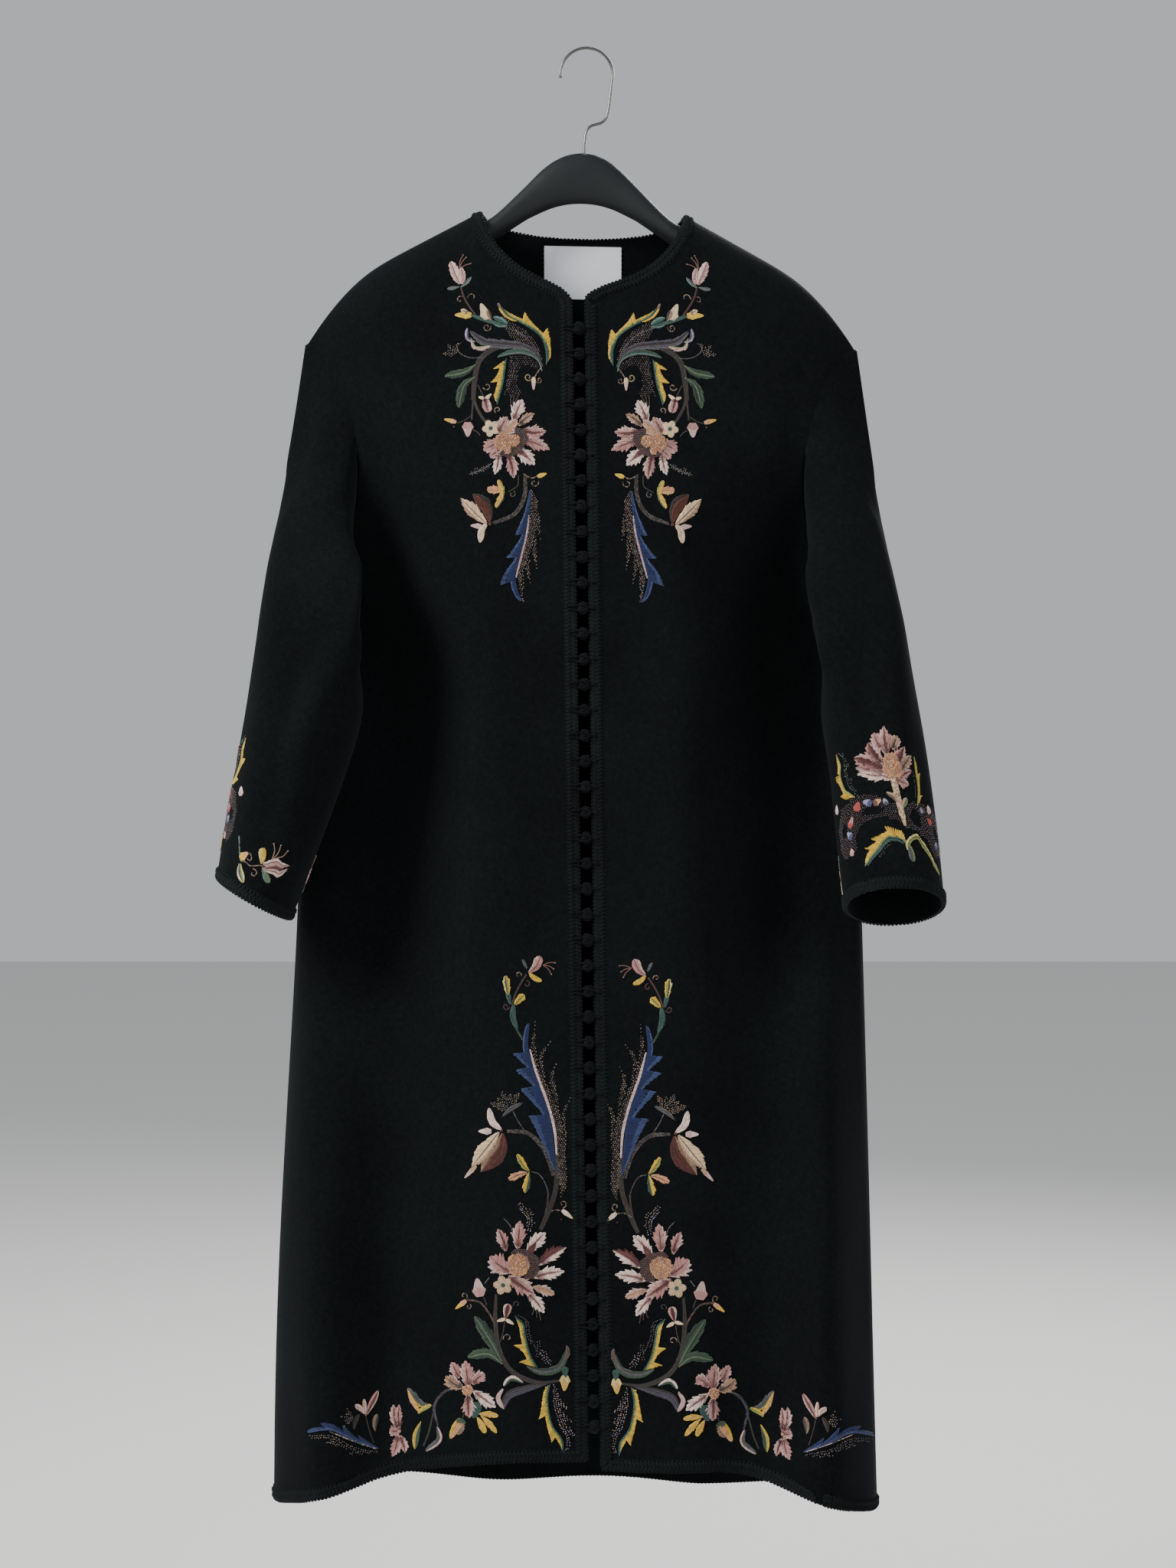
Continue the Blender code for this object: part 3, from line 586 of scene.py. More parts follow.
def sideStitches(points, length, width, sign, bands, slant, teeth, shape, layer, pitch):
    # Satin stitches from a leaf's vein out to one toothed margin, in bands of colour
    count = max(4, int(length / pitch))
    for k in range(count):
        t = (k + 0.5) / count
        reach = envelope(t, width, shape) * toothed(t, teeth) * draw.uniform(0.95, 1.05)
        if reach < 0.8:
            continue
        base = pointAt(points, t)
        far = t + slant * reach / length
        foot = pointAt(points, far)
        if far > 1:
            foot = shifted(points[-1], unitWay(points[-2], points[-1]), (far - 1) * length * 0.8)
        outer = shifted(foot, normalAt(points, min(t, 0.97)), sign * reach)
        start = 0.0
        for upto, colour in bands:
            end = min(1.0, upto / reach) if upto > 1 else upto
            if start >= 1:
                break
            first = clamp(start + (draw.uniform(-0.12, 0.02) if start else 0.02))
            last = clamp(end + (draw.uniform(-0.10, 0.10) if end < 1 else 0.0))
            a, b = between(base, outer, first), between(base, outer, last)
            if math.dist(a, b) > 0.7:
                stitch(a, b, colour, pitch * 1.30, 0.95, layer, 0.24)
            start = end


def sideSeeds(points, length, width, sign, shape, teeth, colours, layer):
    # Small separate stitches in rows, which leave the cloth showing between them
    gap, slant = 2.9, 0.6
    rows = max(1, int(width / gap))
    count = max(3, int(length / gap))
    for k in range(count):
        for row in range(rows + 1):
            t = (k + 0.5 * (row % 2) + 0.3) / count
            away = (row + 0.6) * gap
            if away > envelope(t, width, shape) * toothed(t, teeth):
                continue
            x, y = shifted(pointAt(points, t + slant * away / length), normalAt(points, t), sign * away)
            place = (x + draw.uniform(-0.7, 0.7), y + draw.uniform(-0.7, 0.7))
            knot(place, draw.uniform(0.66, 0.86), draw.choice(colours), layer)


def stem(line, width, colours, layer=0, ends=(1.0, 1.0), pitch=1.7):
    # Stem stitch: short overlapping stitches that slant across the line
    fine, length = curvePoints(line, 60)
    names = colours.split()
    lines = max(1, round(width / 1.3))
    lean = 0.22
    for strand in range(lines):
        count = max(3, int(length / pitch))
        for k in range(count):
            t = (k + 0.5 * (strand % 2)) / count
            taper = mix(ends[0], 1.0, ease(t * 4)) * mix(ends[1], 1.0, ease((1 - t) * 4))
            away = ((strand + 0.5) / lines - 0.5) * width * taper
            side = normalAt(fine, t)
            a = shifted(pointAt(fine, t - 0.2 * pitch / length), side, away - lean)
            b = shifted(pointAt(fine, t + 1.25 * pitch / length), side, away + lean)
            stitch(a, b, draw.choice(names), 1.25 * min(1.0, 0.55 + 0.45 * taper), 0.5, layer, 0.14)


def spiral(centre, radius, start, turns, colours):
    # A curl that winds in; start is the angle of its open end and turns is signed
    line = []
    for k in range(14):
        share = k / 13
        line += spoke(centre, start + turns * 2 * math.pi * share, radius * (1 - 0.72 * share))
    stem(line, 1.2, colours, 0, (1.0, 0.8), 1.5)


def leaf(line, width, bands, vein=None, teeth=(0, 0), shape=(1.0, 0.75), slant=0.9, layer=0, pitch=1.4):
    # Width and bands are for both sides, or a tuple for left and right. Seed bands name their own colours.
    fine, length = curvePoints(line, 80)
    for sign, reach, look in zip((1, -1), both(width), both(bands)):
        if look.startswith("seed"):
            sideSeeds(fine, length, reach, sign, shape, teeth, look.split()[1:], layer)
        elif reach:
            sideStitches(fine, length, reach, sign, bandsOf(look), slant, teeth, shape, layer, pitch)
    if vein:
        stem(line, 1.4, vein, layer + 1, (1.0, 0.5), 1.6)


def petal(line, width, look, bend=0.0, teeth=(5, 0.32, 1.3), shape="lance"):
    # A pointed petal in two tones, with a fan of dark stitches from its base
    base, tip = pairs(line)
    left, right, vein = petalLooks[look]
    middle = bowed(base, tip, 0.5, bend)
    leaf((*base, *middle, *tip), width / 2, (left, right), None, teeth, shape, 0.62, 1)
    root, head = between(base, tip, 0.10), between(middle, tip, 0.45)
    stem((*root, *middle, *head), 2.0, f"{vein} {vein} burgundy", 2, (1.0, 0.3), 1.6)
    angle = math.atan2(middle[1] - base[1], middle[0] - base[0])
    for k in range(-3, 4):
        reach = math.dist(base, tip) * draw.uniform(0.26, 0.40) * (1 - 0.12 * abs(k))
        start = shifted(root, (-math.sin(angle), math.cos(angle)), 0.5 * k)
        stitch(start, spoke(start, angle + 0.17 * k, reach), vein, 1.2, 0.9, 2, 0.3)


def bud(line, width, colours, layer=1):
    # A small closed bud of satin stitches along it, its base in the first colour and its tip in the last
    base, tip = pairs(line)
    names = colours.split()
    length = math.dist(base, tip)
    along = unitWay(base, tip)
    side = (along[1], -along[0])
    count = max(3, int(width / 0.95))
    for k in range(count):
        across = ((k + 0.5) / count - 0.5) * 2
        reach = length * (0.55 + 0.45 * math.sqrt(max(0, 1 - across * across)))
        bow = width / 2 * across
        foot = shifted(base, side, bow * 0.45)
        middle = shifted(shifted(base, along, reach * 0.55), side, bow)
        head = shifted(shifted(base, along, reach), side, bow * 0.42)
        stitch(foot, middle, names[0], 1.45, 0.6, layer)
        stitch(between(foot, middle, 0.75), head, names[-1], 1.45, 0.6, layer)


def disc(centre, radius, layer=1, lobes=7):
    # A flower's eye: a full ground of stitches, then a raised, uneven heap of short ones and knots
    colours = ("peach", "apricot", "peach", "sand", "pink")
    goldenAngle = 2.39996
    count = max(9, int(2 * math.pi * radius / 1.3))
    for k in range(count):
        angle = 2 * math.pi * k / count
        wave = 1 + 0.07 * math.sin(angle * lobes)
        for near, far in ((0.0, 0.55), (0.5, 1.0)):
            if near or k % 2:
                stitch(spoke(centre, angle, radius * near), spoke(centre, angle, radius * far * wave),
                       colours[0], 1.6, 0.7, layer, 0.12)
    count = int(radius * radius * 0.75)
    for k in range(count):
        angle = goldenAngle * k
        place = spoke(centre, angle, radius * 0.94 * math.sqrt((k + 0.5) / count))
        turn = angle + draw.uniform(-0.9, 0.9)
        stitch(spoke(place, turn, -1.5), spoke(place, turn, 1.5), draw.choice(colours), 1.7, 1.5,
               layer + 1, 0.28)
    for k in range(int(radius * 1.7)):
        angle = draw.uniform(0, 2 * math.pi)
        place = spoke(centre, angle, radius * draw.uniform(0.1, 0.98))
        knot(place, 1.25, draw.choice(colours), layer + 3)


def inside(point, outline):
    x, y = point
    found = False
    for (x0, y0), (x1, y1) in zip(outline, outline[1:] + outline[:1]):
        if (y0 > y) != (y1 > y) and x < (x1 - x0) * (y - y0) / (y1 - y0) + x0:
            found = not found
    return found


def seedPatch(line, colours, gap, layer=0, holes=()):
    # Seed stitches in staggered rows inside a closed outline, clear of its oval holes (x, y, half sizes)
    outline = pairs(line)
    names = colours.split()
    row = 0
    y = min(line[1::2]) + gap / 2
    while y < max(line[1::2]):
        x = min(line[::2]) + (gap / 2 if row % 2 else 0)
        while x < max(line[::2]):
            clear = all(((x - cx) / rx) ** 2 + ((y - cy) / ry) ** 2 > 1 for cx, cy, rx, ry in holes)
            if clear and inside((x, y), outline):
                place = (x + draw.uniform(-0.35, 0.35), y + draw.uniform(-0.35, 0.35))
                knot(place, 0.74, draw.choice(names), layer)
            x += gap
        y += gap * 0.86
        row += 1


def stamens(line, colours):
    # Fine stalks from the first place to each of the others, with a knot at the end
    base, *ends = pairs(line)
    names = colours.split()
    for end in ends:
        stem((*base, *bowed(base, end, 0.55, 0.10), *end), 1.1, names[0], 1, (1.0, 0.7), 1.8)
        knot(end, 0.95, names[-1], 2)


def prongs(*parts, gap=2.7, colours="taupe mauve taupe tan brown"):
    # One even field of seeds over all prongs of a feather: each a line and the widths at both of its sides
    names = colours.split()
    placed = []
    for line, left, right in parts:
        fine, length = curvePoints(line, 60)
        for k in range(int(length / (0.86 * gap)) + 1):
            t = k * 0.86 * gap / length
            taper = min(1.0, t / 0.10) ** 0.5 * (1 - clamp((t - 0.45) / 0.55) ** 1.4)
            for row in range(-int(right / gap) - 1, int(left / gap) + 2):
                away = (row + 0.5 * (k % 2)) * gap
                if not -right * taper <= away <= left * taper:
                    continue
                x, y = shifted(pointAt(fine, t), normalAt(fine, min(t, 0.97)), away)
                place = (x + draw.uniform(-0.3, 0.3), y + draw.uniform(-0.3, 0.3))
                if all(math.dist(place, other) > 0.8 * gap for other in placed):
                    placed.append(place)
                    knot(place, 0.95, draw.choice(names), 0)


def starSprig(centre, size, turn):
    # A small dark fan of five seeded points
    parts = []
    for k in range(5):
        tip = spoke(centre, turn + (k - 2) * 0.46, size * (1.0, 0.78)[k % 2])
        parts.append(((*centre, *between(centre, tip, 0.5), *tip), size * 0.17, size * 0.17))
    prongs(*parts, gap=2.8, colours="grey taupe tan")


def bigFlower(petals, eye, eyeRadius, ground=None):
    for *line, width, look, bend in petals:
        petal(line, width, look, bend)
    if ground:
        seedPatch(ground, "darkBrown burgundy darkBrown", 1.15, 3)
        seedPatch(ground, "taupe mauve rosewood", 3.2, 4)
    disc(eye, eyeRadius, layer=3)


def paleBlossom(centre, size, eyeColour, colours, turn):
    # A little five-lobed blossom of long satin stitches
    names = colours.split()
    for k in range(5):
        for m in range(9):
            way = turn + k * 2 * math.pi / 5 + (m / 8 - 0.5) * 1.15
            reach = size * (0.62 + 0.38 * math.sin(math.pi * (m + 0.6) / 9.2))
            stitch(spoke(centre, way, size * 0.16), spoke(centre, way, reach), names[m % len(names)],
                   1.7, 0.8, 2, 0.14)
    for k in range(7):
        stitch(centre, spoke(centre, turn + k * 2 * math.pi / 7, 3), eyeColour, 1.6, 0.9, 4)


# Motifs. Places are photo pixels of the viewer's left front; the right front has their mirror image.

def chestSpray():
    # top bud with stamens, its stalk and curls
    stamens((600, 352, 605, 333, 609, 336, 615, 344), "rust tan")
    leaf((601, 371, 595, 358, 589, 342), (6, 6.5), ("pink 0.5 palePink", "blush"), "rosewood",
         teeth=(5, 0.2), shape=(0.7, 0.55), layer=1)
    leaf((603, 371, 604, 362, 602, 349), (3, 4.5), ("palePink", "pink 0.5 palePink"), shape=(0.7, 0.6),
         layer=2)
    leaf((600, 374, 592, 376, 584, 377), 2.4, "grey", "paleTeal")
    leaf((601, 375, 609, 369, 616, 361), 2.2, ("grey", "paleTeal"), "grey")
    stem((602, 374, 605, 385, 611, 397, 621, 411), 2.2, "brown darkBrown burgundy")
    spiral((617, 388), 6.5, 2.9, 0.62, "brown tan")
    spiral((601, 391), 5.0, -0.9, -0.8, "brown tan")
    # yellow bud and pale bud on a teal link
    bud((616, 411, 594, 411), 11, "yellow")
    petal((612, 408, 601, 404), 6, "cream", teeth=(0, 0))
    bud((637, 417, 628, 396), 15, "cream")
    leaf((643, 420, 639, 411, 637, 404), (3.5, 3), ("tan", "brown"), layer=2)
    leaf((658, 424, 640, 420, 613, 411), (2, 3.2), "teal", "green", shape=(0.9, 0.5))
    leaf((640, 417, 650, 424, 664, 425), (2, 2.4), ("teal", "paleTeal"))
    spiral((636, 427), 5.5, -0.3, 1.25, "tan brown")
    # large curved leaf with a yellow toothed upper margin and a seeded heart
    leaf((713, 478, 712, 456, 704, 438, 684, 424, 664, 414, 652, 399), (0, 13.5),
         ("", "teal 2.6 lime 4.2 yellow"), teeth=((0.37, 0.63), 0.55, 2.6), shape="band", slant=0.3,
         layer=1)
    leaf((713, 476, 714, 462, 711, 446), (0, 4), ("", "teal"), layer=2)
    leaf((652, 399, 661, 411, 676, 419), (0, 3), ("", "yellow"), shape="band", slant=0.3, layer=1)
    leaf((655, 404, 652, 399, 650, 395), 1.6, ("taupe", "tan"), layer=2)
    leaf((664, 424, 655, 418, 644, 414), (3, 3.5), ("teal", "paleTeal"), layer=1)
    seedPatch((654, 410, 668, 421, 688, 432, 702, 448, 709, 470, 703, 472, 694, 458, 684, 452, 672, 446,
              664, 436, 658, 424), "mauve tan mauve taupe", 3.0)
    leaf((668, 432, 676, 434, 684, 438), 2.4, "seed taupe tan")
    stem((652, 425, 668, 430, 684, 438, 699, 454, 709, 478), 1.8, "purple darkBrown")
    # grey and purple leaf with a pink turned tip
    leaf((704, 464, 684, 452, 656, 449, 632, 446, 614, 432), (6.5, 6),
         ("purple 0.5 grey", "darkBrown 0.5 purple"), "darkBrown", teeth=(6, 0.24), shape=(1.15, 0.6),
         slant=0.8)
    leaf((622, 446, 611, 441, 611, 428), (3.2, 1.6), ("lavender", "purple"), shape=(1.0, 0.6), layer=1)
    leaf((615, 441, 622, 453, 641, 451), (1.2, 5), ("sage", "palePink"), "lime", teeth=(3, 0.35), layer=1)
    # dark stems
    stem((704, 458, 672, 448, 645, 455, 626, 471, 620, 497, 618, 522), 7, "darkBrown darkBrown brown",
         ends=(0.35, 0.8), pitch=1.9)
    stem((620, 500, 620, 524, 630, 545, 640, 556), 3.4, "darkBrown brown", ends=(1.0, 0.7))
    stem((619, 512, 617, 534, 616, 548), 2.2, "brown darkBrown")
    stem((632, 466, 615, 467, 601, 461, 597, 452, 603, 447), 1.2, "grey brown", ends=(1.0, 0.5))
    starSprig((594, 462), 17, -2.2)
    # two green leaves
    leaf((621, 476, 606, 486, 581, 491), (5.5, 6), ("green 0.6 darkGreen", "green"), "sage", teeth=(4, 0.2))
    leaf((620, 492, 606, 504, 599, 532), (6, 7), ("darkGreen", "darkGreen 0.5 green"), "sage",
         teeth=(4, 0.2))
    # arching teal leaf with a yellow toothed inner leaf
    leaf((708, 484, 702, 469, 686, 461, 668, 461, 650, 466), (1.8, 5), ("grey", "teal 0.6 green"),
         "paleTeal", shape=(1.2, 0.6))
    leaf((662, 468, 660, 486, 657, 504, 650, 528), (0, 15.5), ("", "teal 2.6 lime 3.8 yellow"),
         teeth=((0.16, 0.46), 0.48, 2.2), shape="band", slant=0.35, layer=1)
    leaf((663, 466, 670, 480, 664, 500, 656, 518), (5, 3), "seed purple grey taupe", teeth=(4, 0.3))
    seedPatch((666, 464, 690, 465, 703, 475, 706, 487, 696, 479, 684, 476, 677, 486, 675, 501, 681, 514,
              668, 521, 661, 508, 663, 488), "taupe brown mauve", 2.9)
    spiral((690, 492), 5.5, 0.2, 1.2, "lime tan")
    spiral((704, 496), 4.2, 2.6, -1.1, "brown tan")
    stem((708, 478, 702, 486, 698, 493), 1.3, "tan brown")
    bud((697, 492, 697, 509), 6, "cream palePink")
    # pink bud with a cream tip, stalks and small buds
    stem((624, 502, 628, 510, 632, 518), 1.4, "brown")
    petal((633, 518, 638, 537), 12, "rose", teeth=(0, 0), shape=(0.9, 0.5))
    bud((632, 520, 625, 518), 4.5, "cream", layer=2)
    bud((634, 521, 642, 514), 5, "blush cream", layer=2)
    spiral((636, 504), 5.5, 2.8, -0.9, "brown tan")
    spiral((650, 535), 4.6, 2.2, 1.0, "grey tan")
    stem((615, 543, 606, 549, 597, 552), 1.5, "brown darkBrown")
    bud((596, 551, 580, 547), 6.5, "peach yellow")
    knot((593, 557), 1.5, "brown")
    bud((611, 551, 611, 570), 16, "pink palePink")
    stamens((618, 561, 627, 568), "brown")
    # small pale blossom over the large flower
    paleBlossom((641, 559), 11.5, "teal", "cream", 0.5)
    # large dusty-pink flower
    bigFlower((
        (670, 550, 683, 521, 21, "pale", 0.03), (677, 556, 699, 539, 13, "sand", 0.06),
        (680, 562, 714, 563, 20, "rose", -0.05), (680, 573, 719, 587, 19, "dusty", 0.03),
        (664, 590, 671, 625, 18, "rose", 0.04), (652, 590, 646, 620, 14, "pale", 0.04),
        (672, 584, 699, 607, 21, "pale", 0.03), (656, 582, 640, 598, 17, "dusty", 0),
        (656, 572, 631, 588, 24, "dusty", 0.04), (650, 566, 663, 543, 17, "dusty", 0.03),
        (652, 570, 676, 546, 21, "peachy", -0.04)),
        (658, 577), 12, (672, 558, 684, 560, 691, 572, 684, 584, 676, 594, 662, 596, 650, 592, 660, 588,
        674, 578))
    disc((671, 575), 8.0, layer=4, lobes=5)
    disc((663, 588), 4.5, layer=5, lobes=4)
    bud((677, 587, 690, 598), 8, "burgundy rosewood", layer=3)
    stem((651, 592, 663, 595, 676, 590), 2.4, "burgundy rosewood", layer=2)
    stamens((672, 536, 667, 519, 672, 517, 678, 515), "brown")
    # below: seeded leaf, bud with curls, yellow leaf
    leaf((642, 605, 630, 613, 613, 619), (4.5, 5.5), "seed grey tan", "grey", teeth=(3, 0.3))
    stem((683, 618, 694, 624, 702, 621), 1.3, "brown tan")
    bud((702, 622, 714, 618), 6.5, "yellow")
    spiral((698, 630), 6.0, -0.4, 0.9, "brown tan")
    spiral((669, 645), 4.6, -1.2, 1.0, "brown grey")
    stem((677, 620, 676, 634, 664, 642), 1.2, "darkBrown brown")
    leaf((658, 643, 650, 640, 637, 640), (5, 6.5), ("peach 0.6 apricot", "peach"), teeth=(2, 0.3))
    leaf((657, 650, 656, 640, 651, 626), (4.2, 3.8), ("yellow", "yellow 0.5 lime"), "apricot",
         teeth=(2, 0.3), layer=1)
    leaf((657, 637, 655, 650, 648, 663), (3.6, 5), ("yellow 0.5 green", "apricot 0.5 yellow"), "yellow",
         teeth=(2, 0.3), layer=1)
    # tulip on a seeded stem
    stem((686, 620, 685, 648, 672, 671, 644, 683), 5.5, "darkBrown darkBrown taupe", ends=(0.8, 0.6),
         pitch=2)
    leaf((640, 682, 634, 662, 617, 644), (8.5, 10.5), ("wine", "wine 0.6 darkBrown"), shape="lance")
    leaf((636, 684, 622, 671, 601, 650), (8.5, 9), ("cream 0.5 sand", "cream"), "brown", teeth=(5, 0.18),
         shape="lance", layer=1)
    bud((629, 687, 615, 686), 7.5, "palePink", layer=2)
    leaf((636, 684, 629, 692, 627, 708), (5, 4), ("cream", "blush"), shape=(0.7, 0.6), layer=2)
    knot((640, 684), 2.4, "burgundy")
    # long feather: blue half with hooks, pink vein, seeded half with prongs
    leaf((694, 640, 692, 668, 687, 698, 680, 728, 674, 752, 677, 772, 683, 785), (0, 19),
         ("", "blue 0.7 paleBlue"), teeth=((0.39, 0.6, 0.8), 0.6, 1.2), shape="grow", slant=0.3, pitch=1.3)
    prongs(((694, 640, 693, 672, 690, 697, 683, 726, 677, 752, 683, 784), 9, 0),
           ((695, 644, 701, 674, 707, 707), 3.2, 5), ((694, 668, 697, 704, 701, 742), 3.2, 5.5),
           ((689, 700, 689, 734, 693, 762), 3.2, 4.5), ((682, 738, 681, 764, 684, 788), 3, 3))
    stem((691, 672, 688, 697, 681, 726, 674, 754), 2.2, "palePink lavender pink", layer=1, ends=(0.5, 0.6))


def hemSpray():
    # top bud and stalk
    leaf((690, 1270, 700, 1262, 706, 1249), (6.5, 5.5), ("pink 0.5 palePink", "pink"), "burgundy", layer=1)
    leaf((690, 1268, 697, 1276, 708, 1281), (3, 3.5), "yellow", layer=2)
    stamens((709, 1260, 725, 1257, 723, 1265, 720, 1272), "rust tan")
    leaf((689, 1266, 686, 1260, 682, 1252), 1.8, "grey")
    stem((688, 1272, 682, 1281, 675, 1294, 668, 1312), 2, "brown darkBrown burgundy")
    spiral((677, 1273), 4.5, 0.4, -0.9, "brown tan")
    spiral((688, 1285), 4.8, -1.6, 0.85, "burgundy brown")
    leaf((664, 1301, 662, 1288, 660, 1274), (4.5, 5), ("green 0.5 paleYellow", "lime 0.5 yellow"),
         teeth=(3, 0.3), layer=1)
    leaf((667, 1313, 665, 1304, 662, 1293), 3, "teal")
    leaf((671, 1313, 677, 1306, 684, 1299), (5, 5.5), ("yellow", "lime 0.5 yellow"), "green",
         teeth=(3, 0.3), layer=1)
    spiral((661, 1314), 4.8, 0.2, 1.1, "burgundy brown")
    leaf((676, 1345, 670, 1328, 671, 1311), 4, "teal", "green", shape=(0.9, 0.6))
    stem((671, 1334, 676, 1346, 683, 1358), 2.4, "green darkGreen")
    # feather: blue half with hooks, pink vein, seeded half with prongs
    leaf((728, 1530, 724, 1496, 719, 1456, 707, 1418, 696, 1388, 690, 1366, 692, 1336), (25, 0),
         ("blue 0.7 paleBlue", ""), teeth=((0.38, 0.58, 0.71, 0.81), 0.6, 1.2), shape=(0.8, 0.42),
         slant=0.15, pitch=1.3)
    prongs(((733, 1562, 729, 1506, 726, 1474, 717, 1440, 703, 1402, 694, 1366), 0, 9.5),
           ((708, 1412, 697, 1374, 699, 1332), 3.4, 3.4),
           ((717, 1440, 707, 1398, 707, 1378, 719, 1360), 4.2, 4.2),
           ((726, 1468, 723, 1424, 721, 1404, 727, 1388), 4.6, 4.6),
           ((730, 1536, 735, 1484, 736, 1456, 745, 1433), 5, 5), gap=2.9)
    stem((727, 1508, 724, 1474, 715, 1440, 701, 1402, 692, 1370), 3.4, "palePink blush palePink", layer=1,
         ends=(0.6, 0.4), pitch=1.6)
    stem((733, 1548, 729, 1530, 727, 1506), 5, "taupe darkBrown darkBrown", ends=(0.8, 0.6), pitch=1.9)
    # dark star and its stalk
    starSprig((664, 1448), 27, -1.9)
    leaf((655, 1459, 667, 1448, 683, 1440), 2.6, "grey", "darkBrown")
    stem((669, 1448, 675, 1461, 684, 1475), 1.4, "grey brown")
    # tulip on a seeded stem
    stem((723, 1535, 711, 1502, 690, 1480, 662, 1477), 5.5, "darkBrown darkBrown taupe", ends=(0.8, 0.7),
         pitch=2)
    leaf((657, 1479, 653, 1505, 628, 1531), (10, 15), ("wine 0.5 burgundy", "wine 0.4 tan"), shape="lance")
    leaf((652, 1478, 638, 1496, 616, 1524), (10.5, 11), ("cream 0.6 sand", "cream"), "brown",
         teeth=(5, 0.14), shape="lance", layer=1)
    leaf((655, 1475, 643, 1464, 639, 1447), (5, 4.5), "blush", shape=(0.8, 0.6), layer=2)
    bud((642, 1477, 625, 1477), 9.5, "palePink blush", layer=2)
    bud((622, 1522, 607, 1538), 6.5, "sand palePink", layer=2)
    knot((655, 1476), 2.2, "burgundy")
    # yellow and brown leaf
    leaf((692, 1530, 684, 1522, 675, 1507), (4, 5), ("lime", "yellow"), "brown", teeth=(3, 0.3), layer=1)
    leaf((690, 1531, 680, 1533, 664, 1540), (4.5, 5), "peach", "brown", teeth=(3, 0.3), layer=1)
    leaf((691, 1530, 689, 1543, 686, 1557), (4.5, 5.5), ("green", "yellow"), "lime", teeth=(3, 0.3),
         layer=1)
    stem((694, 1530, 704, 1533, 712, 1545, 717, 1560), 1.6, "grey brown")
    # trunk of stems down to the large flower
    stem((728, 1520, 726, 1552, 718, 1578, 706, 1606), 6.5, "darkBrown darkBrown brown", ends=(0.9, 0.8),
         pitch=2)
    stem((716, 1556, 715, 1572, 712, 1588), 2.4, "brown darkBrown")
    stem((713, 1586, 724, 1580, 734, 1581), 1.4, "brown tan")
    bud((734, 1580, 748, 1591), 6.5, "blush cream")
    spiral((735, 1572), 5.5, 1.6, -0.95, "brown tan")
    knot((733, 1592), 1.2, "burgundy")
    leaf((690, 1612, 693, 1590, 678, 1571), (7, 5), "seed tan mauve lavender", teeth=(3, 0.2),
         shape=(0.9, 0.5))
    stem((671, 1613, 666, 1600, 658, 1591), 1.4, "grey brown", ends=(1.0, 0.5))
    # large flower
    bigFlower((
        (661, 1634, 650, 1604, 17, "rose", -0.03), (676, 1632, 679, 1593, 21, "dusty", 0),
        (688, 1636, 713, 1609, 22, "pale", 0.03), (702, 1652, 740, 1628, 20, "shade", 0.05),
        (696, 1668, 738, 1660, 20, "pale", 0.04), (696, 1680, 726, 1691, 15, "peachy", 0.03),
        (688, 1688, 711, 1715, 18, "pale", 0.05), (664, 1666, 698, 1690, 26, "rose", 0),
        (668, 1662, 640, 1640, 30, "dusty", 0.06)),
        (677, 1651), 15, (666, 1636, 674, 1630, 690, 1632, 704, 1642, 704, 1660, 696, 1670, 684, 1670, 692,
        1650))
    bud((690, 1637, 700, 1622), 10, "wine burgundy", layer=3)
    paleBlossom((657, 1678), 13, "teal", "sand cream", 0.7)
    stamens((697, 1704, 695, 1716, 701, 1719, 706, 1723), "brown")
    # pink bud, orange bud, small bud and their stalks
    bud((627, 1693, 623, 1669), 19, "pink palePink")
    stem((633, 1676, 639, 1668), 1.2, "grey")
    spiral((606, 1692), 5.0, 1.0, -0.9, "brown tan")
    spiral((612, 1706), 4.0, -1.2, 1.0, "brown tan")
    bud((609, 1698, 595, 1709), 7, "peach yellow")
    stem((609, 1697, 626, 1700, 637, 1712, 646, 1728), 2.2, "brown rust darkBrown")
    stem((632, 1694, 636, 1704), 1.6, "brown")
    leaf((660, 1722, 662, 1712, 664, 1703), 5.5, ("burgundy 0.5 palePink", "burgundy 0.5 pink"), layer=1)
    bud((660, 1722, 649, 1725), 5, "cream", layer=2)
    bud((661, 1723, 671, 1729), 5, "cream", layer=2)
    stem((659, 1726, 657, 1740, 652, 1756), 1.5, "brown darkBrown")
    spiral((663, 1747), 6.0, 2.8, 0.85, "tan brown")
    spiral((675, 1703), 4.8, 2.6, 0.9, "brown darkBrown")
    stem((648, 1690, 647, 1726, 652, 1762, 668, 1790, 700, 1805, 730, 1803), 6,
         "darkBrown darkBrown brown", ends=(0.5, 0.4), pitch=2)
    # green leaves on the left
    leaf((655, 1777, 640, 1750, 620, 1719), (7.5, 9), ("darkGreen 0.6 green", "green 0.5 darkGreen"),
         "sage", teeth=(4, 0.2))
    leaf((656, 1781, 638, 1768, 611, 1772), (6, 8), ("green 0.6 darkGreen", "green"), "sage",
         teeth=(4, 0.18), layer=1)
    # yellow toothed leaf with seeded heart
    leaf((703, 1786, 693, 1768, 687, 1744, 684, 1728, 672, 1717), (17, 0),
         ("teal 2.6 lime 4.2 yellow", ""), teeth=((0.2, 0.44), 0.58, 2.6), shape="band", slant=0.15,
         layer=1)
    leaf((676, 1716, 690, 1724, 694, 1744, 704, 1766), (0, 6), ("", "seed grey taupe"), shape=(0.8, 0.5))
    leaf((700, 1776, 704, 1762, 702, 1748), 3.5, "seed taupe purple")
    leaf((724, 1784, 714, 1774, 710, 1762), (7, 3), "seed mauve lavender tan", teeth=(2, 0.3))
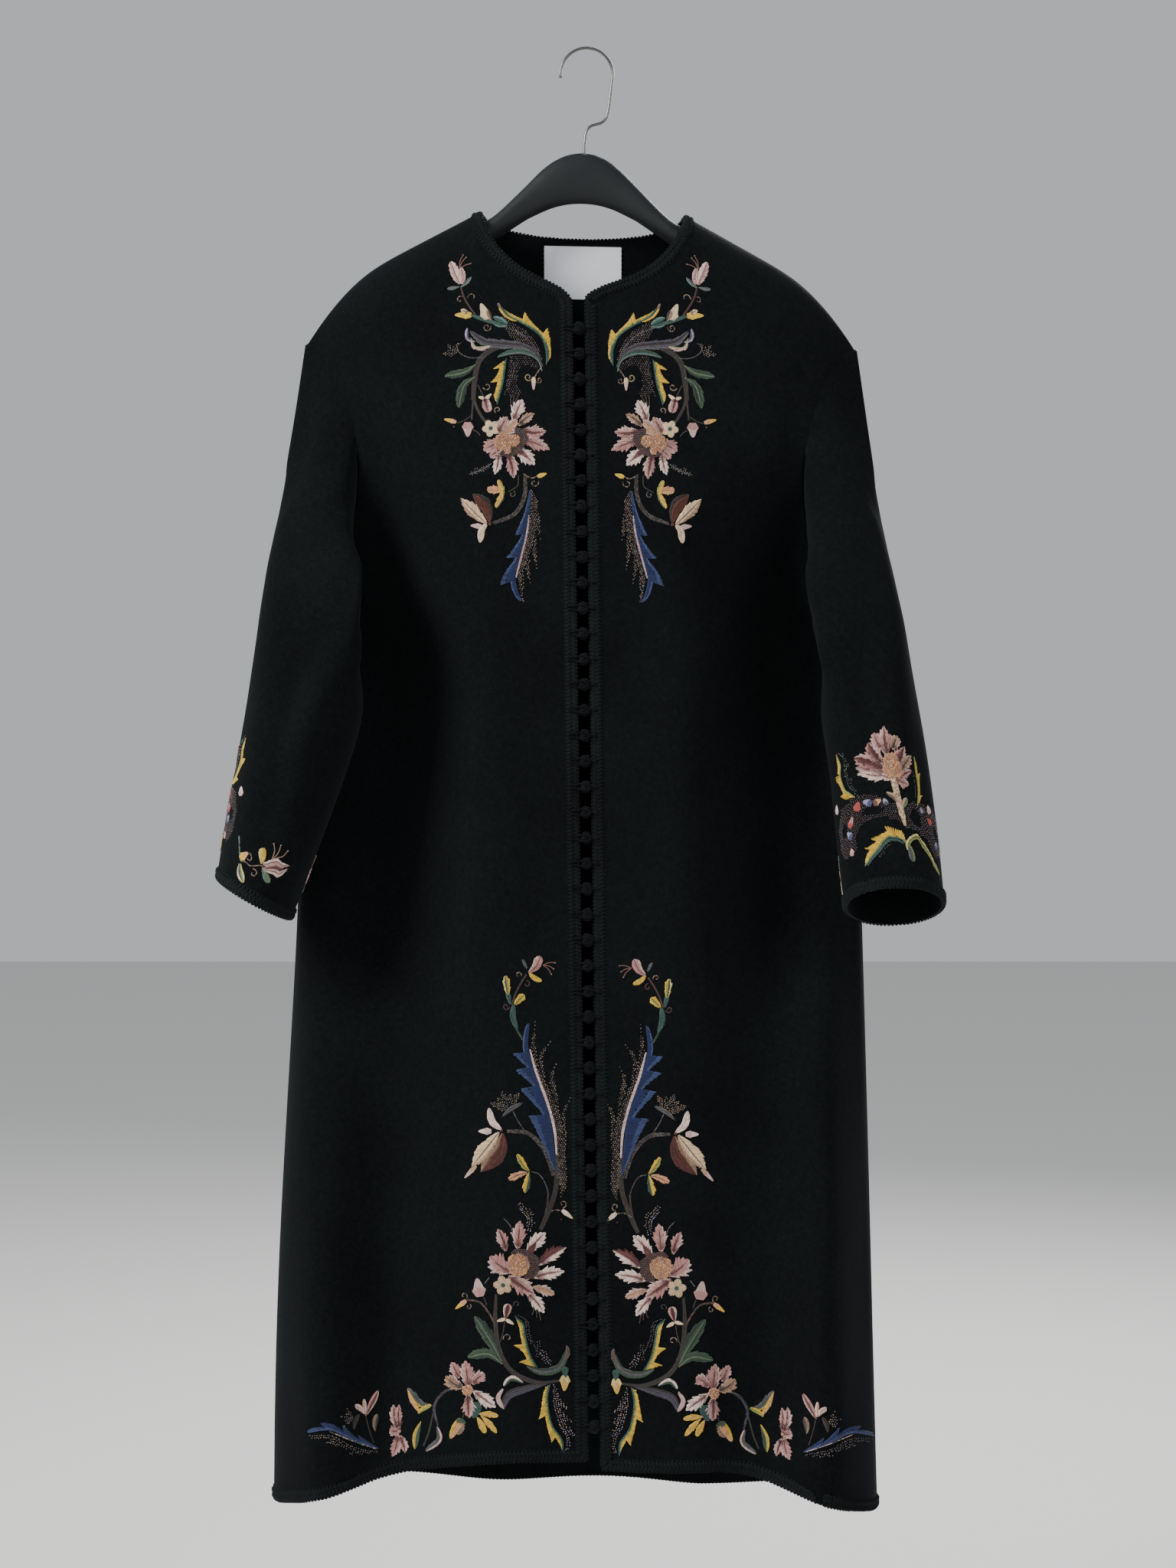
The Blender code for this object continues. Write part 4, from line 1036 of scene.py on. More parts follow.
    # grey leaf that curls up to the edge
    leaf((688, 1784, 708, 1790, 730, 1784, 742, 1758), (3.5, 6.5), ("darkGreen", "grey 0.6 green"), "grey",
         shape=(0.8, 0.6))
    leaf((736, 1778, 742, 1768, 740, 1756), 2.5, ("rust", "taupe"), layer=1)
    stem((716, 1787, 730, 1782, 738, 1772), 2.2, "taupe grey", layer=1, ends=(0.6, 0.8))
    leaf((739, 1799, 738, 1792, 738, 1785), 4.5, "teal", layer=2)
    bud((738, 1796, 737, 1816), 15, "paleYellow yellow")
    bud((737, 1800, 737, 1813), 5, "peach", layer=2)
    # hanging yellow toothed leaf
    leaf((719, 1806, 716, 1830, 722, 1860, 735, 1880, 736, 1898), (0, 13.5),
         ("", "teal 2.4 lime 3.8 yellow"), teeth=((0.06, 0.4, 0.7), 0.5, 2.4), shape="band", slant=0.35,
         layer=1)
    leaf((722, 1806, 722, 1832, 729, 1858, 739, 1880, 737, 1894), (17, 0),
         ("seed lavender mauve sand mauve", ""), teeth=((0.3, 0.52, 0.78), 0.5, 1.2), shape=(0.72, 0.45))
    # purple leaf with a pink tip
    leaf((716, 1806, 684, 1814, 664, 1822, 656, 1840), (5.5, 5), ("purple", "purple 0.5 darkBrown"),
         "darkBrown", shape=(1.2, 0.6))
    leaf((684, 1806, 668, 1800, 658, 1810), (3, 4.5), ("green", "blush"), "green", teeth=(2, 0.2), layer=1)
    leaf((658, 1812, 651, 1826, 659, 1840), (2.5, 3.5), "palePink", layer=1)
    # second flower
    bigFlower((
        (612, 1812, 608, 1776, 22, "dusty", 0), (606, 1812, 582, 1796, 22, "sand", 0.1),
        (600, 1800, 590, 1778, 16, "dusty", 0), (617, 1808, 634, 1794, 20, "dusty", 0.1),
        (618, 1816, 648, 1838, 20, "pale", 0), (612, 1820, 613, 1852, 20, "rose", 0)),
        (611, 1815), 7)
    leaf((618, 1852, 621, 1842, 622, 1832), (5.5, 8), "teal", shape=(0.9, 0.4))
    for x0, y0, x1, y1, width in (
            (625, 1846, 651, 1849, 4), (628, 1848, 649, 1871, 4), (623, 1850, 634, 1871, 4.5)):
        leaf((x0, y0, (x0 + x1) / 2, (y0 + y1) / 2 - 1, x1, y1), width, "yellow", "peach",
             teeth=(2, 0.2), layer=1)
    leaf((600, 1852, 594, 1864, 588, 1878), (5.5, 4), ("peach", "yellow"), shape=(0.7, 0.6), layer=1)
    leaf((598, 1854, 604, 1860, 596, 1872), (5.5, 3), ("tan", "peach"), layer=1)
    leaf((609, 1858, 603, 1855, 597, 1853), (4.5, 3), "green", "darkGreen", layer=2)
    stem((604, 1852, 606, 1846), 1.6, "brown")
    # towards the side: dark leaves, yellow leaf, side-view flower
    stem((592, 1812, 577, 1820, 567, 1838, 572, 1862), 3.4, "darkBrown purple", ends=(0.7, 0.5), pitch=2)
    leaf((565, 1836, 548, 1832, 532, 1812), (4.5, 5.5), ("grey 0.6 yellow", "grey"), "green",
         teeth=(3, 0.3))
    leaf((532, 1812, 539, 1830, 549, 1845), (3.5, 3), ("yellow", "peach"), teeth=(2, 0.3), layer=1)
    leaf((545, 1847, 552, 1840, 564, 1834), 3, ("yellow", "lime"), layer=1)
    leaf((571, 1862, 574, 1880, 556, 1895), (3, 4.5), ("palePink", "grey"), "grey", shape=(0.9, 0.6))
    stem((566, 1845, 560, 1870, 553, 1888), 2, "darkBrown darkGreen")
    leaf((550, 1856, 543, 1874, 542, 1892), (5, 3.5), ("green", "lime 0.5 yellow"), "yellow", layer=1)
    for *line, width, look in (
            (520, 1868, 514, 1832, 14, "rose"), (522, 1866, 522, 1832, 12, "rose"),
            (524, 1868, 508, 1868, 16, "dusty"), (520, 1872, 512, 1903, 16, "dusty"),
            (522, 1874, 530, 1898, 13, "rose")):
        petal(line, width, look, 0.06)
    knot((521, 1869), 2.4, "pink")
    # small tulip, dark leaves and star
    leaf((477, 1850, 482, 1838, 494, 1815), (3.5, 4.5), ("pink", "rust 0.6 palePink"), "burgundy", layer=1)
    leaf((476, 1846, 470, 1838, 464, 1834), (4, 3), ("palePink", "blush"), layer=1)
    leaf((476, 1848, 476, 1836, 475, 1826), 2.6, ("peach", "blush"), layer=1)
    stem((478, 1850, 482, 1866, 488, 1884), 1.6, "darkBrown brown")
    leaf((490, 1869, 490, 1858, 493, 1846), (4, 3.5), ("tan", "brown"), "grey")
    leaf((462, 1868, 464, 1856, 469, 1846), 3, ("darkBrown", "brown"))
    starSprig((460, 1852), 15, 3.3)
    # blue and grey feather that ends the border
    leaf((497, 1893, 462, 1882, 432, 1868, 402, 1871), (0, 11), ("", "paleBlue 0.4 blue"), teeth=(4, 0.62),
         shape=(1.0, 0.6))
    leaf((497, 1895, 462, 1888, 434, 1874, 404, 1873), (12, 0), ("seed grey tan mauve", ""),
         teeth=(3, 0.5), shape=(1.0, 0.6))
    stem((492, 1892, 462, 1882, 430, 1869), 1.8, "palePink grey", layer=1, ends=(0.7, 0.5))


# Laying stitches on the cloth

def clothAt(piece, mirror=None):
    # Cloth point and normal seen through a photo pixel. A mirror is the axis's x at two heights, these
    # heights, and how far the mirror image hangs lower.
    tree = treeOf(cloth[piece])

    def found(place):
        x, y = place
        if mirror:
            axisTop, axisFoot, top, foot, drop = mirror
            x, y = 2 * mix(axisTop, axisFoot, clamp((y - top) / (foot - top))) - x, y + drop
        goal = Vector(((x - photo["origin"][0]) * pxSize, 0.0, -(y - photo["origin"][1]) * pxSize))
        hit, normal, _, _ = tree.ray_cast(photo["camera"], (goal - photo["camera"]).normalized())
        if hit is None:
            return None
        return hit, normal if normal.y < 0 else -normal
    return found


class Heap:
    # Mesh data of many small raised shapes that become one piece

    def __init__(self):
        self.points, self.faces, self.colours, self.twist = [], [], [], []

    def ridge(self, start, end, width, rise, lift, colour):
        # A low ridge between two places, each a point and its normal
        a, b = start[0], end[0]
        along = b - a
        length = along.length
        if length < 1e-5:
            return
        base = len(self.points)
        for share, wide, high in ((0.0, 0.45, 0.15), (0.18, 1.0, 0.95), (0.82, 1.0, 0.95), (1.0, 0.45, 0.15)):
            normal = start[1].lerp(end[1], share).normalized()
            side = along.cross(normal).normalized()
            spot = a.lerp(b, share) + normal * lift
            for across, up in ((-0.5, -0.25), (0.0, 1.0), (0.5, -0.25)):
                self.points.append(spot + side * across * width * wide + normal * rise * up * high)
                self.colours.append(colour)
                self.twist.append((across + 0.5, share * length / width))
        for k in range(3):
            for m in range(2):
                first = base + 3 * k + m
                self.faces.append((first, first + 1, first + 4, first + 3))

    def bead(self, place, normal, radius, lift, colour):
        side = normal.orthogonal().normalized()
        other = normal.cross(side)
        base = len(self.points)
        for size, up in ((1.0, 0.0), (0.80, 0.62)):
            for k in range(6):
                angle = math.pi * k / 3
                around = (side * math.cos(angle) + other * math.sin(angle)) * radius * size
                self.points.append(place + normal * (lift + radius * up) + around)
        self.points.append(place + normal * (lift + radius))
        self.colours += [colour] * 13
        self.twist += [(0.5, 0.0)] * 13
        for k in range(6):
            n = (k + 1) % 6
            self.faces.append((base + k, base + n, base + 6 + n, base + 6 + k))
            self.faces.append((base + 6 + k, base + 6 + n, base + 12))

    def piece(self, name, material):
        bm = bmesh.new()
        shade = bm.verts.layers.float_color.new("Col")
        twist = bm.loops.layers.uv.new("twist")
        verts = [bm.verts.new(point) for point in self.points]
        for vert, colour in zip(verts, self.colours):
            vert[shade] = (*colour, 1.0)
        bm.verts.index_update()
        for corners in self.faces:
            face = bm.faces.new([verts[k] for k in corners])
            for loop in face.loops:
                loop[twist].uv = self.twist[loop.vert.index]
        obj = objectFrom(name, bm, 80.0)
        print("raised work", name, len(obj.data.polygons))
        return finish(obj, material)


sewing = {"layerRise": 0.00020, "stitchLift": 0.00012, "knotLift": 0.0001, "stretch": 2.5}


def embroider(name, drawing, found):
    # Draws a spray, then lays every stitch of it on the cloth, apart from those that a fold would stretch
    stitches.clear()
    knots.clear()
    drawing()
    heap = Heap()
    for a, b, width, rise, colour, layer in stitches:
        start, end = found(a), found(b)
        longest = sewing["stretch"] * pxSize * max(2.0, math.dist(a, b))
        if not start or not end or (start[0] - end[0]).length > longest:
            continue
        lift = sewing["stitchLift"] + sewing["layerRise"] * layer
        heap.ridge(start, end, width * pxSize, rise * pxSize, lift, colour)
    for place, radius, colour, layer in knots:
        spot = found(place)
        if spot:
            heap.bead(*spot, radius * pxSize, sewing["knotLift"] + sewing["layerRise"] * layer, colour)
    return heap.piece(name, threadLook)


embroider("chestSprayLeft", chestSpray, clothAt("frontLeft"))
embroider("hemSprayLeft", hemSpray, clothAt("frontLeft"))
embroider("chestSprayRight", chestSpray, clothAt("frontRight", (756, 760, 355, 780, 1)))
embroider("hemSprayRight", hemSpray, clothAt("frontRight", (767, 772, 1260, 1890, 4)))


# Cuffs: a flat band, u round the sleeve and v up from the edge, both in photo pixels

cuffSteps = 72  # measured ways round a sleeve
cuffAxis = 0.110  # metres of sleeve above the cuff that give its direction
cuffRing = 0.045  # height above the cuff where its girth is measured


def cuffFinder(name, braidNode, faceAngle, flip):
    # Sleeve point for a flat (u, v); u = 0 lies at faceAngle round the sleeve
    tree = treeOf(cloth[name])
    low = [vert.co for vert in nodes[braidNode].data.vertices]
    centre = sum(low, Vector()) / len(low)
    axis = (axisPoint(name, centre.z + cuffAxis) - centre).normalized()
    front = Vector((0, -1, 0))
    front = (front - axis * front.dot(axis)).normalized()
    side = axis.cross(front)

    def angleAt(k):
        return faceAngle + 2 * math.pi * (k / cuffSteps - 0.5)

    def direction(angle):
        return front * math.cos(angle) + side * math.sin(angle)

    def hitAt(angle, height):
        away = direction(angle)
        hit, normal, _, _ = tree.ray_cast(centre + axis * height + away * 0.3, -away)
        return (hit, normal) if hit is not None else None

    edge, ring, lengths = [], [], [0.0]
    heights = [(point - centre).dot(axis) for point in low]
    ways = [(point - centre - axis * height).normalized() for point, height in zip(low, heights)]
    for k in range(cuffSteps + 1):
        away = direction(angleAt(k))
        edge.append(min(height for way, height in zip(ways, heights) if way.dot(away) > 0.93))
        ring.append(hitAt(angleAt(k), cuffRing)[0])
    for a, b in zip(ring, ring[1:]):
        lengths.append(lengths[-1] + (b - a).length)
    total = lengths[-1]
    print("cuff", name, round(total / pxSize))

    def found(place):
        k, share = placeOn(lengths, (flip * place[0] * pxSize + lengths[cuffSteps // 2]) % total)
        return hitAt(angleAt(k + share), mix(edge[k], edge[k + 1], clamp(share)) - place[1] * pxSize)
    return found


def cuffBand():
    # A lotus over a seeded band, with toothed leaves, and a sprig on both sides of it
    def path(*flat):
        return [value for u, v in pairs(flat) for value in (u, -0.93 * v - 18)]


    for *line, width, look in (
            (-3, 160, -3, 203, 18, "rose"), (-9, 168, -16, 193, 16, "dusty"), (4, 168, 11, 191, 14, "sand"),
            (-10, 146, -24, 180, 22, "wine"), (-6, 142, -42, 164, 26, "wine"), (8, 150, 18, 177, 15, "wine"),
            (8, 140, 28, 165, 17, "sand"), (-6, 136, -43, 151, 16, "rose"), (4, 134, 27, 144, 13, "rose"),
            (2, 130, 21, 124, 15, "dusty"), (4, 131, -43, 142, 16, "pale")):
        petal(path(*line), width, look, 0.04)
    disc(path(2, 143), 11.5, layer=3)
    disc(path(1, 155), 9.0, layer=3, lobes=5)
    stem(path(1, 131, 5, 102, 10, 69), 7.5, "cream tan sand cream", layer=2, ends=(1.0, 0.4))
    leaf(path(4, 96, -1, 106, -9, 111), (2.5, 3.5), ("taupe", "sand"), layer=2)
    leaf(path(8, 92, 12, 99, 15, 107), 3.5, ("sand", "sage"), layer=2)
    # tall toothed leaves on both sides of the lotus
    leaf(path(-47, 111, -60, 126, -66, 148, -63, 163, -68, 180), (12, 0), ("lime 2.2 yellow", ""),
         teeth=((0.26, 0.58), 0.52, 2.4), shape="band", slant=0.3, layer=1)
    leaf(path(-44, 108, -55, 126, -60, 148, -58, 164, -66, 180), (0, 8), ("", "seed paleTeal grey taupe"),
         teeth=(3, 0.3), shape=(0.8, 0.5))
    leaf(path(32, 101, 36, 126, 33, 150, 32, 170), (0, 9), ("", "lime 2.2 yellow"),
         teeth=((0.24, 0.6), 0.5, 2.4), shape="band", slant=0.3, layer=1)
    leaf(path(31, 104, 33, 126, 31, 150), (4, 0), ("seed grey taupe", ""), teeth=(3, 0.3))
    # seeded band with small bright petals and round gaps
    seedPatch(path(-86, 86, -76, 104, -56, 109, -40, 113, -18, 106, -8, 99, 4, 99, 20, 101, 40, 106, 62,
              108, 80, 96, 84, 60, 70, 40, 54, 38, 46, 56, 30, 62, 12, 66, -2, 76, -24, 78, -44, 74, -54,
              58, -54, 40, -74, 36, -86, 52), "taupe purple rosewood taupe grey mauve rust purple", 2.7, 0,
              [(-28, -100, 14, 5.5), (28, -94, 9, 11), (-72, -87, 6, 8), (66, -85, 7, 9)])
    for x, y, turn, size, colours in (
            (-47, 99, 1.2, 13, "red"), (-34, 100, 2.6, 12, "paleBlue lavender"),
            (-21, 99, 0.4, 11, "rust peach"), (-11, 98, 2.0, 9, "purple lavender"),
            (-59, 81, 1.0, 12, "red pink"), (-64, 66, 2.2, 12, "paleBlue lavender"),
            (-63, 43, 1.5, 10, "pink palePink"),
            (-86, 111, 1.3, 13, "palePink blush"), (56, 104, 1.8, 12, "palePink blush"),
            (42, 97, 0.5, 10, "lavender purple"), (54, 88, 2.4, 11, "red"),
            (62, 54, 1.2, 11, "paleBlue lavender"), (76, 80, 0.8, 10, "rust pink")):
        bud(path(*spoke((x, y), turn, -size / 2), *spoke((x, y), turn, size / 2)), size * 0.85, colours)
    # arched leaves under the band
    leaf(path(10, 42, -3, 50, -16, 46, -28, 33, -45, 17), (0, 15), ("", "sage 2.4 yellow"),
         teeth=((0.3, 0.5, 0.68), 0.42, 2.0), shape="band", slant=0.35, layer=1)
    leaf(path(8, 41, -3, 49, -16, 45, -28, 33, -43, 17), (3.5, 0), ("teal", ""), shape=(0.9, 0.5), layer=1)
    leaf(path(-6, 43, -18, 37, -30, 23), 5, "seed taupe purple grey", teeth=(3, 0.3))
    leaf(path(10, 33, 14, 48, 27, 53, 41, 38, 62, 12), (4.5, 2.5), ("sage 0.4 paleYellow", "lime"),
         teeth=((0.5, 0.7), 0.3), shape="band", slant=0.3, layer=1)
    leaf(path(12, 46, 14, 35, 16, 20), 4, ("sage", "grey"), "green", layer=1)
    # a sprig on both sides of the lotus
    for sign in (-1, 1):
        def side(*flat, turn=0.5):
            # A sprig's places, turned about its root and carried to its own place on the sleeve
            turned = []
            for u, v in pairs(flat):
                du, dv = u - 98, v - 69
                turned += (sign * (116 + du * math.cos(turn) - dv * math.sin(turn)),
                           29 + du * math.sin(turn) + dv * math.cos(turn))
            return path(*turned)

        stem(side(84, 96, 90, 84, 98, 69, turn=0.0), 2.4, "teal brown paleTeal")
        bud(side(96, 72, 105, 83, turn=0.0), 12, "yellow apricot")
        leaf(side(97, 68, 94, 56, 96, 42), 5, ("teal 0.45 cream", "sage 0.6 paleYellow"), layer=1)
        stem(side(98, 69, 112, 64, 128, 62), 1.8, "taupe tan")
        spiral(side(112, 75), 5.5, 1.6 + sign * 0.4, -sign * 0.9, "tan taupe")
        spiral(side(113, 54), 5.5, -1.6 - sign * 0.4, sign * 0.9, "tan taupe")
        leaf(side(126, 64, 130, 74, 133, 84), 5, ("yellow", "paleYellow"), layer=1)
        leaf(side(126, 60, 129, 52, 131, 41), 4, ("paleTeal", "sage"), layer=1)
        leaf(side(127, 65, 146, 67, 166, 59), 4.5, ("pink 0.45 palePink", "blush"), "rust",
             teeth=(4, 0.15), shape="lance", layer=1)
        leaf(side(127, 61, 146, 53, 163, 57), 4.5, ("blush", "palePink"), "rust", teeth=(4, 0.15),
             shape="lance", layer=1)
        leaf(side(129, 62, 146, 61, 160, 59), 2.6, ("rosewood", "pink"), shape="lance", layer=2)
        stamens(side(142, 70, 150, 91, 158, 87, 167, 81), "tan pink")


embroider("cuffBandLeft", cuffBand, cuffFinder("sleeveLeft", "braid_cuff_left", -2.12, -1))
embroider("cuffBandRight", cuffBand, cuffFinder("sleeveRight", "braid_cuff_right", 0.12, 1))


# Braid: knitted strips along the edges, laid on the finished cloth

# The tape colour is set darker than the rib and border colours: painted shade between the raised knit. All
# three go into the mesh colour attribute, which the braid material does not read.
braidLook = {
    "base": (0.0060, 0.0072, 0.0074), "lint": (0.0175, 0.0200, 0.0205), "scale": 1.6, "bump": 0.4,
    "roughness": 0.85, "width": 0.0088, "pitch": 0.0033, "ribColour": (0.016, 0.020, 0.022),
    "borderPitch": 0.0042, "borderColour": (0.020, 0.025, 0.027), "borderAt": 0.0102,
    "tapeShadeColour": (0.013, 0.016, 0.018), "tapeStep": 0.004, "cornerAngle": 0.62, "joinGap": 0.045}
# Ridges of one knit: start and end along and across the strip, width, rise, lift, and the strip it needs
braidRidges = (
    (-0.0014, 0.0003, 0.0022, 0.0046, 0.0030, 0.0014, 0.0007, 0.0042),
    (-0.0014, 0.0086, 0.0022, 0.0044, 0.0030, 0.0014, 0.0009, 0.0082),
    (-0.0013, -0.0003, 0.0013, -0.0003, 0.0019, 0.0010, 0.0004, -1.0),
    (-0.0011, 0.0090, 0.0013, 0.0090, 0.0018, 0.0009, 0.0002, 0.0088))
# The tape under them: places across the strip with their lift
braidTape = (
    (0.0, -0.0022), (-0.0004, 0.0002), (0.0008, 0.0008), (0.0042, 0.0009), (0.0078, 0.0007), (0.0085, 0.0))
lineStep = 0.003
braidWool = woolMaterial("braidWool", braidLook)


def braidedEdge(pieceName, braidNode):
    # The cloth's outer edge under a CAD braid, as one line of points, and whether it is a closed loop
    near = treeOf(nodes[braidNode])
    kept = {}
    for a, b, rawA, rawB in cadRims[pieceName]:
        if all(near.find_nearest(raw, 0.0042)[0] is not None for raw in (rawA, rawB)):
            kept.setdefault(a, set()).add(b)
            kept.setdefault(b, set()).add(a)
    chains = []
    left = set(kept)
    while left:
        ends = sorted(k for k in left if len(kept[k] & left) == 1)
        here = ends[0] if ends else min(left)
        chain = [here]
        left.discard(here)
        while kept[here] & left:
            here = min(kept[here] & left)
            chain.append(here)
            left.discard(here)
        chains.append((chain, not ends and chain[0] in kept[chain[-1]]))
    chains.sort(key=lambda item: -len(item[0]))
    mesh = cloth[pieceName].data
    lines = [[mesh.vertices[k].co.copy() for k in chain] for chain, _ in chains if len(chain) > 1]
    line = lines.pop(0)
    if chains[0][1]:
        return line, True
    while lines:
        gap, index, flip, front = min(
            ((here - other[end]).length, index, end == (0 if front else -1), front)
            for index, other in enumerate(lines) for end in (0, -1)
            for here, front in ((line[0], True), (line[-1], False)))
        if gap > braidLook["joinGap"]:
            break
        other = lines.pop(index)
        if flip:
            other.reverse()
        line = other + line if front else line + other
    print("edge", pieceName, braidNode, len(line), len(lines))
    return line, False


def evenly(points, gap):
    # The same line with points at an even spacing
    lengths = [0.0]
    for a, b in zip(points, points[1:]):
        lengths.append(lengths[-1] + (b - a).length)
    count = max(2, round(lengths[-1] / gap) + 1)
    out = []
    k = 0
    for m in range(count):
        k, share = placeOn(lengths, lengths[-1] * m / (count - 1), k)
        out.append(points[k].lerp(points[k + 1], clamp(share)))
    return out


def splitAtCorners(points):
    # Straight runs between the corners of a line, each with flags for a corner at its start and end
    fine = evenly(points, lineStep)

    def bend(i):
        return (fine[i] - fine[i - 2]).angle(fine[i + 2] - fine[i])

    marks = [0]
    k = 2
    while k < len(fine) - 2:
        if bend(k) > braidLook["cornerAngle"]:
            marks.append(max(range(k, min(k + 3, len(fine) - 2)), key=bend))
            k = marks[-1] + 4
        else:
            k += 1
    marks.append(len(fine) - 1)
    return [(fine[first:last + 1], first != 0, last != len(fine) - 1)
            for first, last in zip(marks, marks[1:]) if last - first > 3]


def layBraid(name, pieceName, braidNode):
    # A tape with two knitted chains and a looped border, mitred at the corners
    line, closed = braidedEdge(pieceName, braidNode)
    tree = treeOf(cloth[pieceName])
    heap = Heap()
    runs = [(evenly(line + [line[0]], lineStep), False, False)] if closed else splitAtCorners(line)
    for run, cornerStart, cornerEnd in runs:
        total = lineStep * (len(run) - 1)
        raw = []
        for k, point in enumerate(run):
            travel = (run[min(len(run) - 1, k + 1)] - run[max(0, k - 1)]).normalized()
            side = travel.cross(braidFace(pieceName, point)).normalized()
            gap = [tree.find_nearest(point + side * sign * 0.0045)[3] for sign in (1, -1)]
            raw.append(side if gap[0] < gap[1] else -side)
        inwards = []
        for k in range(len(raw)):
            mean = sum(raw[max(0, k - 2):k + 3], Vector())
            inwards.append(mean.normalized() if mean.length > 0.1 else raw[k])

        def spot(along, across, lift=0.0):
            place = clamp(along / total) * (len(run) - 1)
            k = min(int(place), len(run) - 2)
            on = run[k].lerp(run[k + 1], place - k)
            face = braidFace(pieceName, on)
            normal = tree.find_nearest(on + inwards[k] * 0.003 + face * 0.0015)[1]
            if normal.dot(face) < 0:
                normal = -normal
            goal = on + inwards[k] * across
            hit, faceNormal, _, distance = tree.find_nearest(goal + normal * 0.0012)
            if faceNormal.dot(normal) < 0.3:  # the wall's edge was met, not its outer face
                faceNormal = normal
                if distance < 0.0022:
                    hit = goal
            return hit + faceNormal * lift, faceNormal

        for k in range(int(total / braidLook["pitch"])):
            s = (k + 0.5) * braidLook["pitch"]
            room = min(braidLook["width"], s if cornerStart else 1.0, total - s if cornerEnd else 1.0)
            for s0, across0, s1, across1, width, rise, lift, needs in braidRidges:
                if room >= needs:
                    heap.ridge(spot(s + s0, across0), spot(s + s1, across1), width, rise, lift,
                               braidLook["ribColour"])
        for k in range(int(total / braidLook["borderPitch"])):
            s = (k + 0.5) * braidLook["borderPitch"]
            if (cornerStart and s < 0.011) or (cornerEnd and total - s < 0.011):
                continue
            ends = [spot(s + along, braidLook["borderAt"]) for along in (-0.0012, 0.0012)]
            heap.ridge(*ends, 0.0007, 0.0003, 0.0001, braidLook["borderColour"])
        rows = []
        steps = max(2, int(total / braidLook["tapeStep"]))
        for across, lift in braidTape:
            inset = max(0.0, across)
            first, last = inset if cornerStart else 0.0, total - (inset if cornerEnd else 0.0)
            rows.append([spot(mix(first, last, m / steps), across, lift)[0] for m in range(steps + 1)])
        for low, high in zip(rows, rows[1:]):
            for m in range(steps):
                base = len(heap.points)
                heap.points += [low[m], low[m + 1], high[m + 1], high[m]]
                # The tape's darker colour is painted shade under the knit.
                heap.colours += [braidLook["tapeShadeColour"]] * 4
                heap.twist += [(0.5, 0.0)] * 4
                heap.faces.append((base, base + 1, base + 2, base + 3))
    piece = heap.piece(name, braidWool)
    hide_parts(braidNode)


for name, pieceName, braidNode in (
        ("braidFrontLeft", "frontLeft", "braid_front_left"),
        ("braidFrontRight", "frontRight", "braid_front_right"),
        ("braidBackNeck", "backPanel", "braid_back_neck"), ("braidBackHem", "backPanel", "braid_back_hem"),
        ("braidCuffLeft", "sleeveLeft", "braid_cuff_left"),
        ("braidCuffRight", "sleeveRight", "braid_cuff_right")):
    layBraid(name, pieceName, braidNode)


# Knot buttons and their cord loops

buttonLook = {
    "base": (0.0036, 0.0042, 0.0048), "lint": (0.0110, 0.0120, 0.0135), "scale": 1.8, "bump": 0.4,
    "roughness": 0.80, "count": 44, "radius": 0.0041, "cordRadius": 0.0013, "loopRadius": 0.0009}


def tubeAlong(bm, path, radius, sides):
    # A cord along a line of points, closed at both ends
    rings = []
    side = None
    for k, point in enumerate(path):
        travel = (path[min(len(path) - 1, k + 1)] - path[max(0, k - 1)]).normalized()
        side = (side - travel * side.dot(travel) if side else travel.orthogonal()).normalized()
        other = travel.cross(side)
        ring = []
        for m in range(sides):
            angle = 2 * math.pi * m / sides
            ring.append(bm.verts.new(point + (side * math.cos(angle) + other * math.sin(angle)) * radius))
        rings.append(ring)
    for first, second in zip(rings, rings[1:]):
        for m in range(sides):
            n = (m + 1) % sides
            bm.faces.new((first[m], first[n], second[n], second[m]))
    bm.faces.new(rings[0][::-1])
    bm.faces.new(rings[-1])


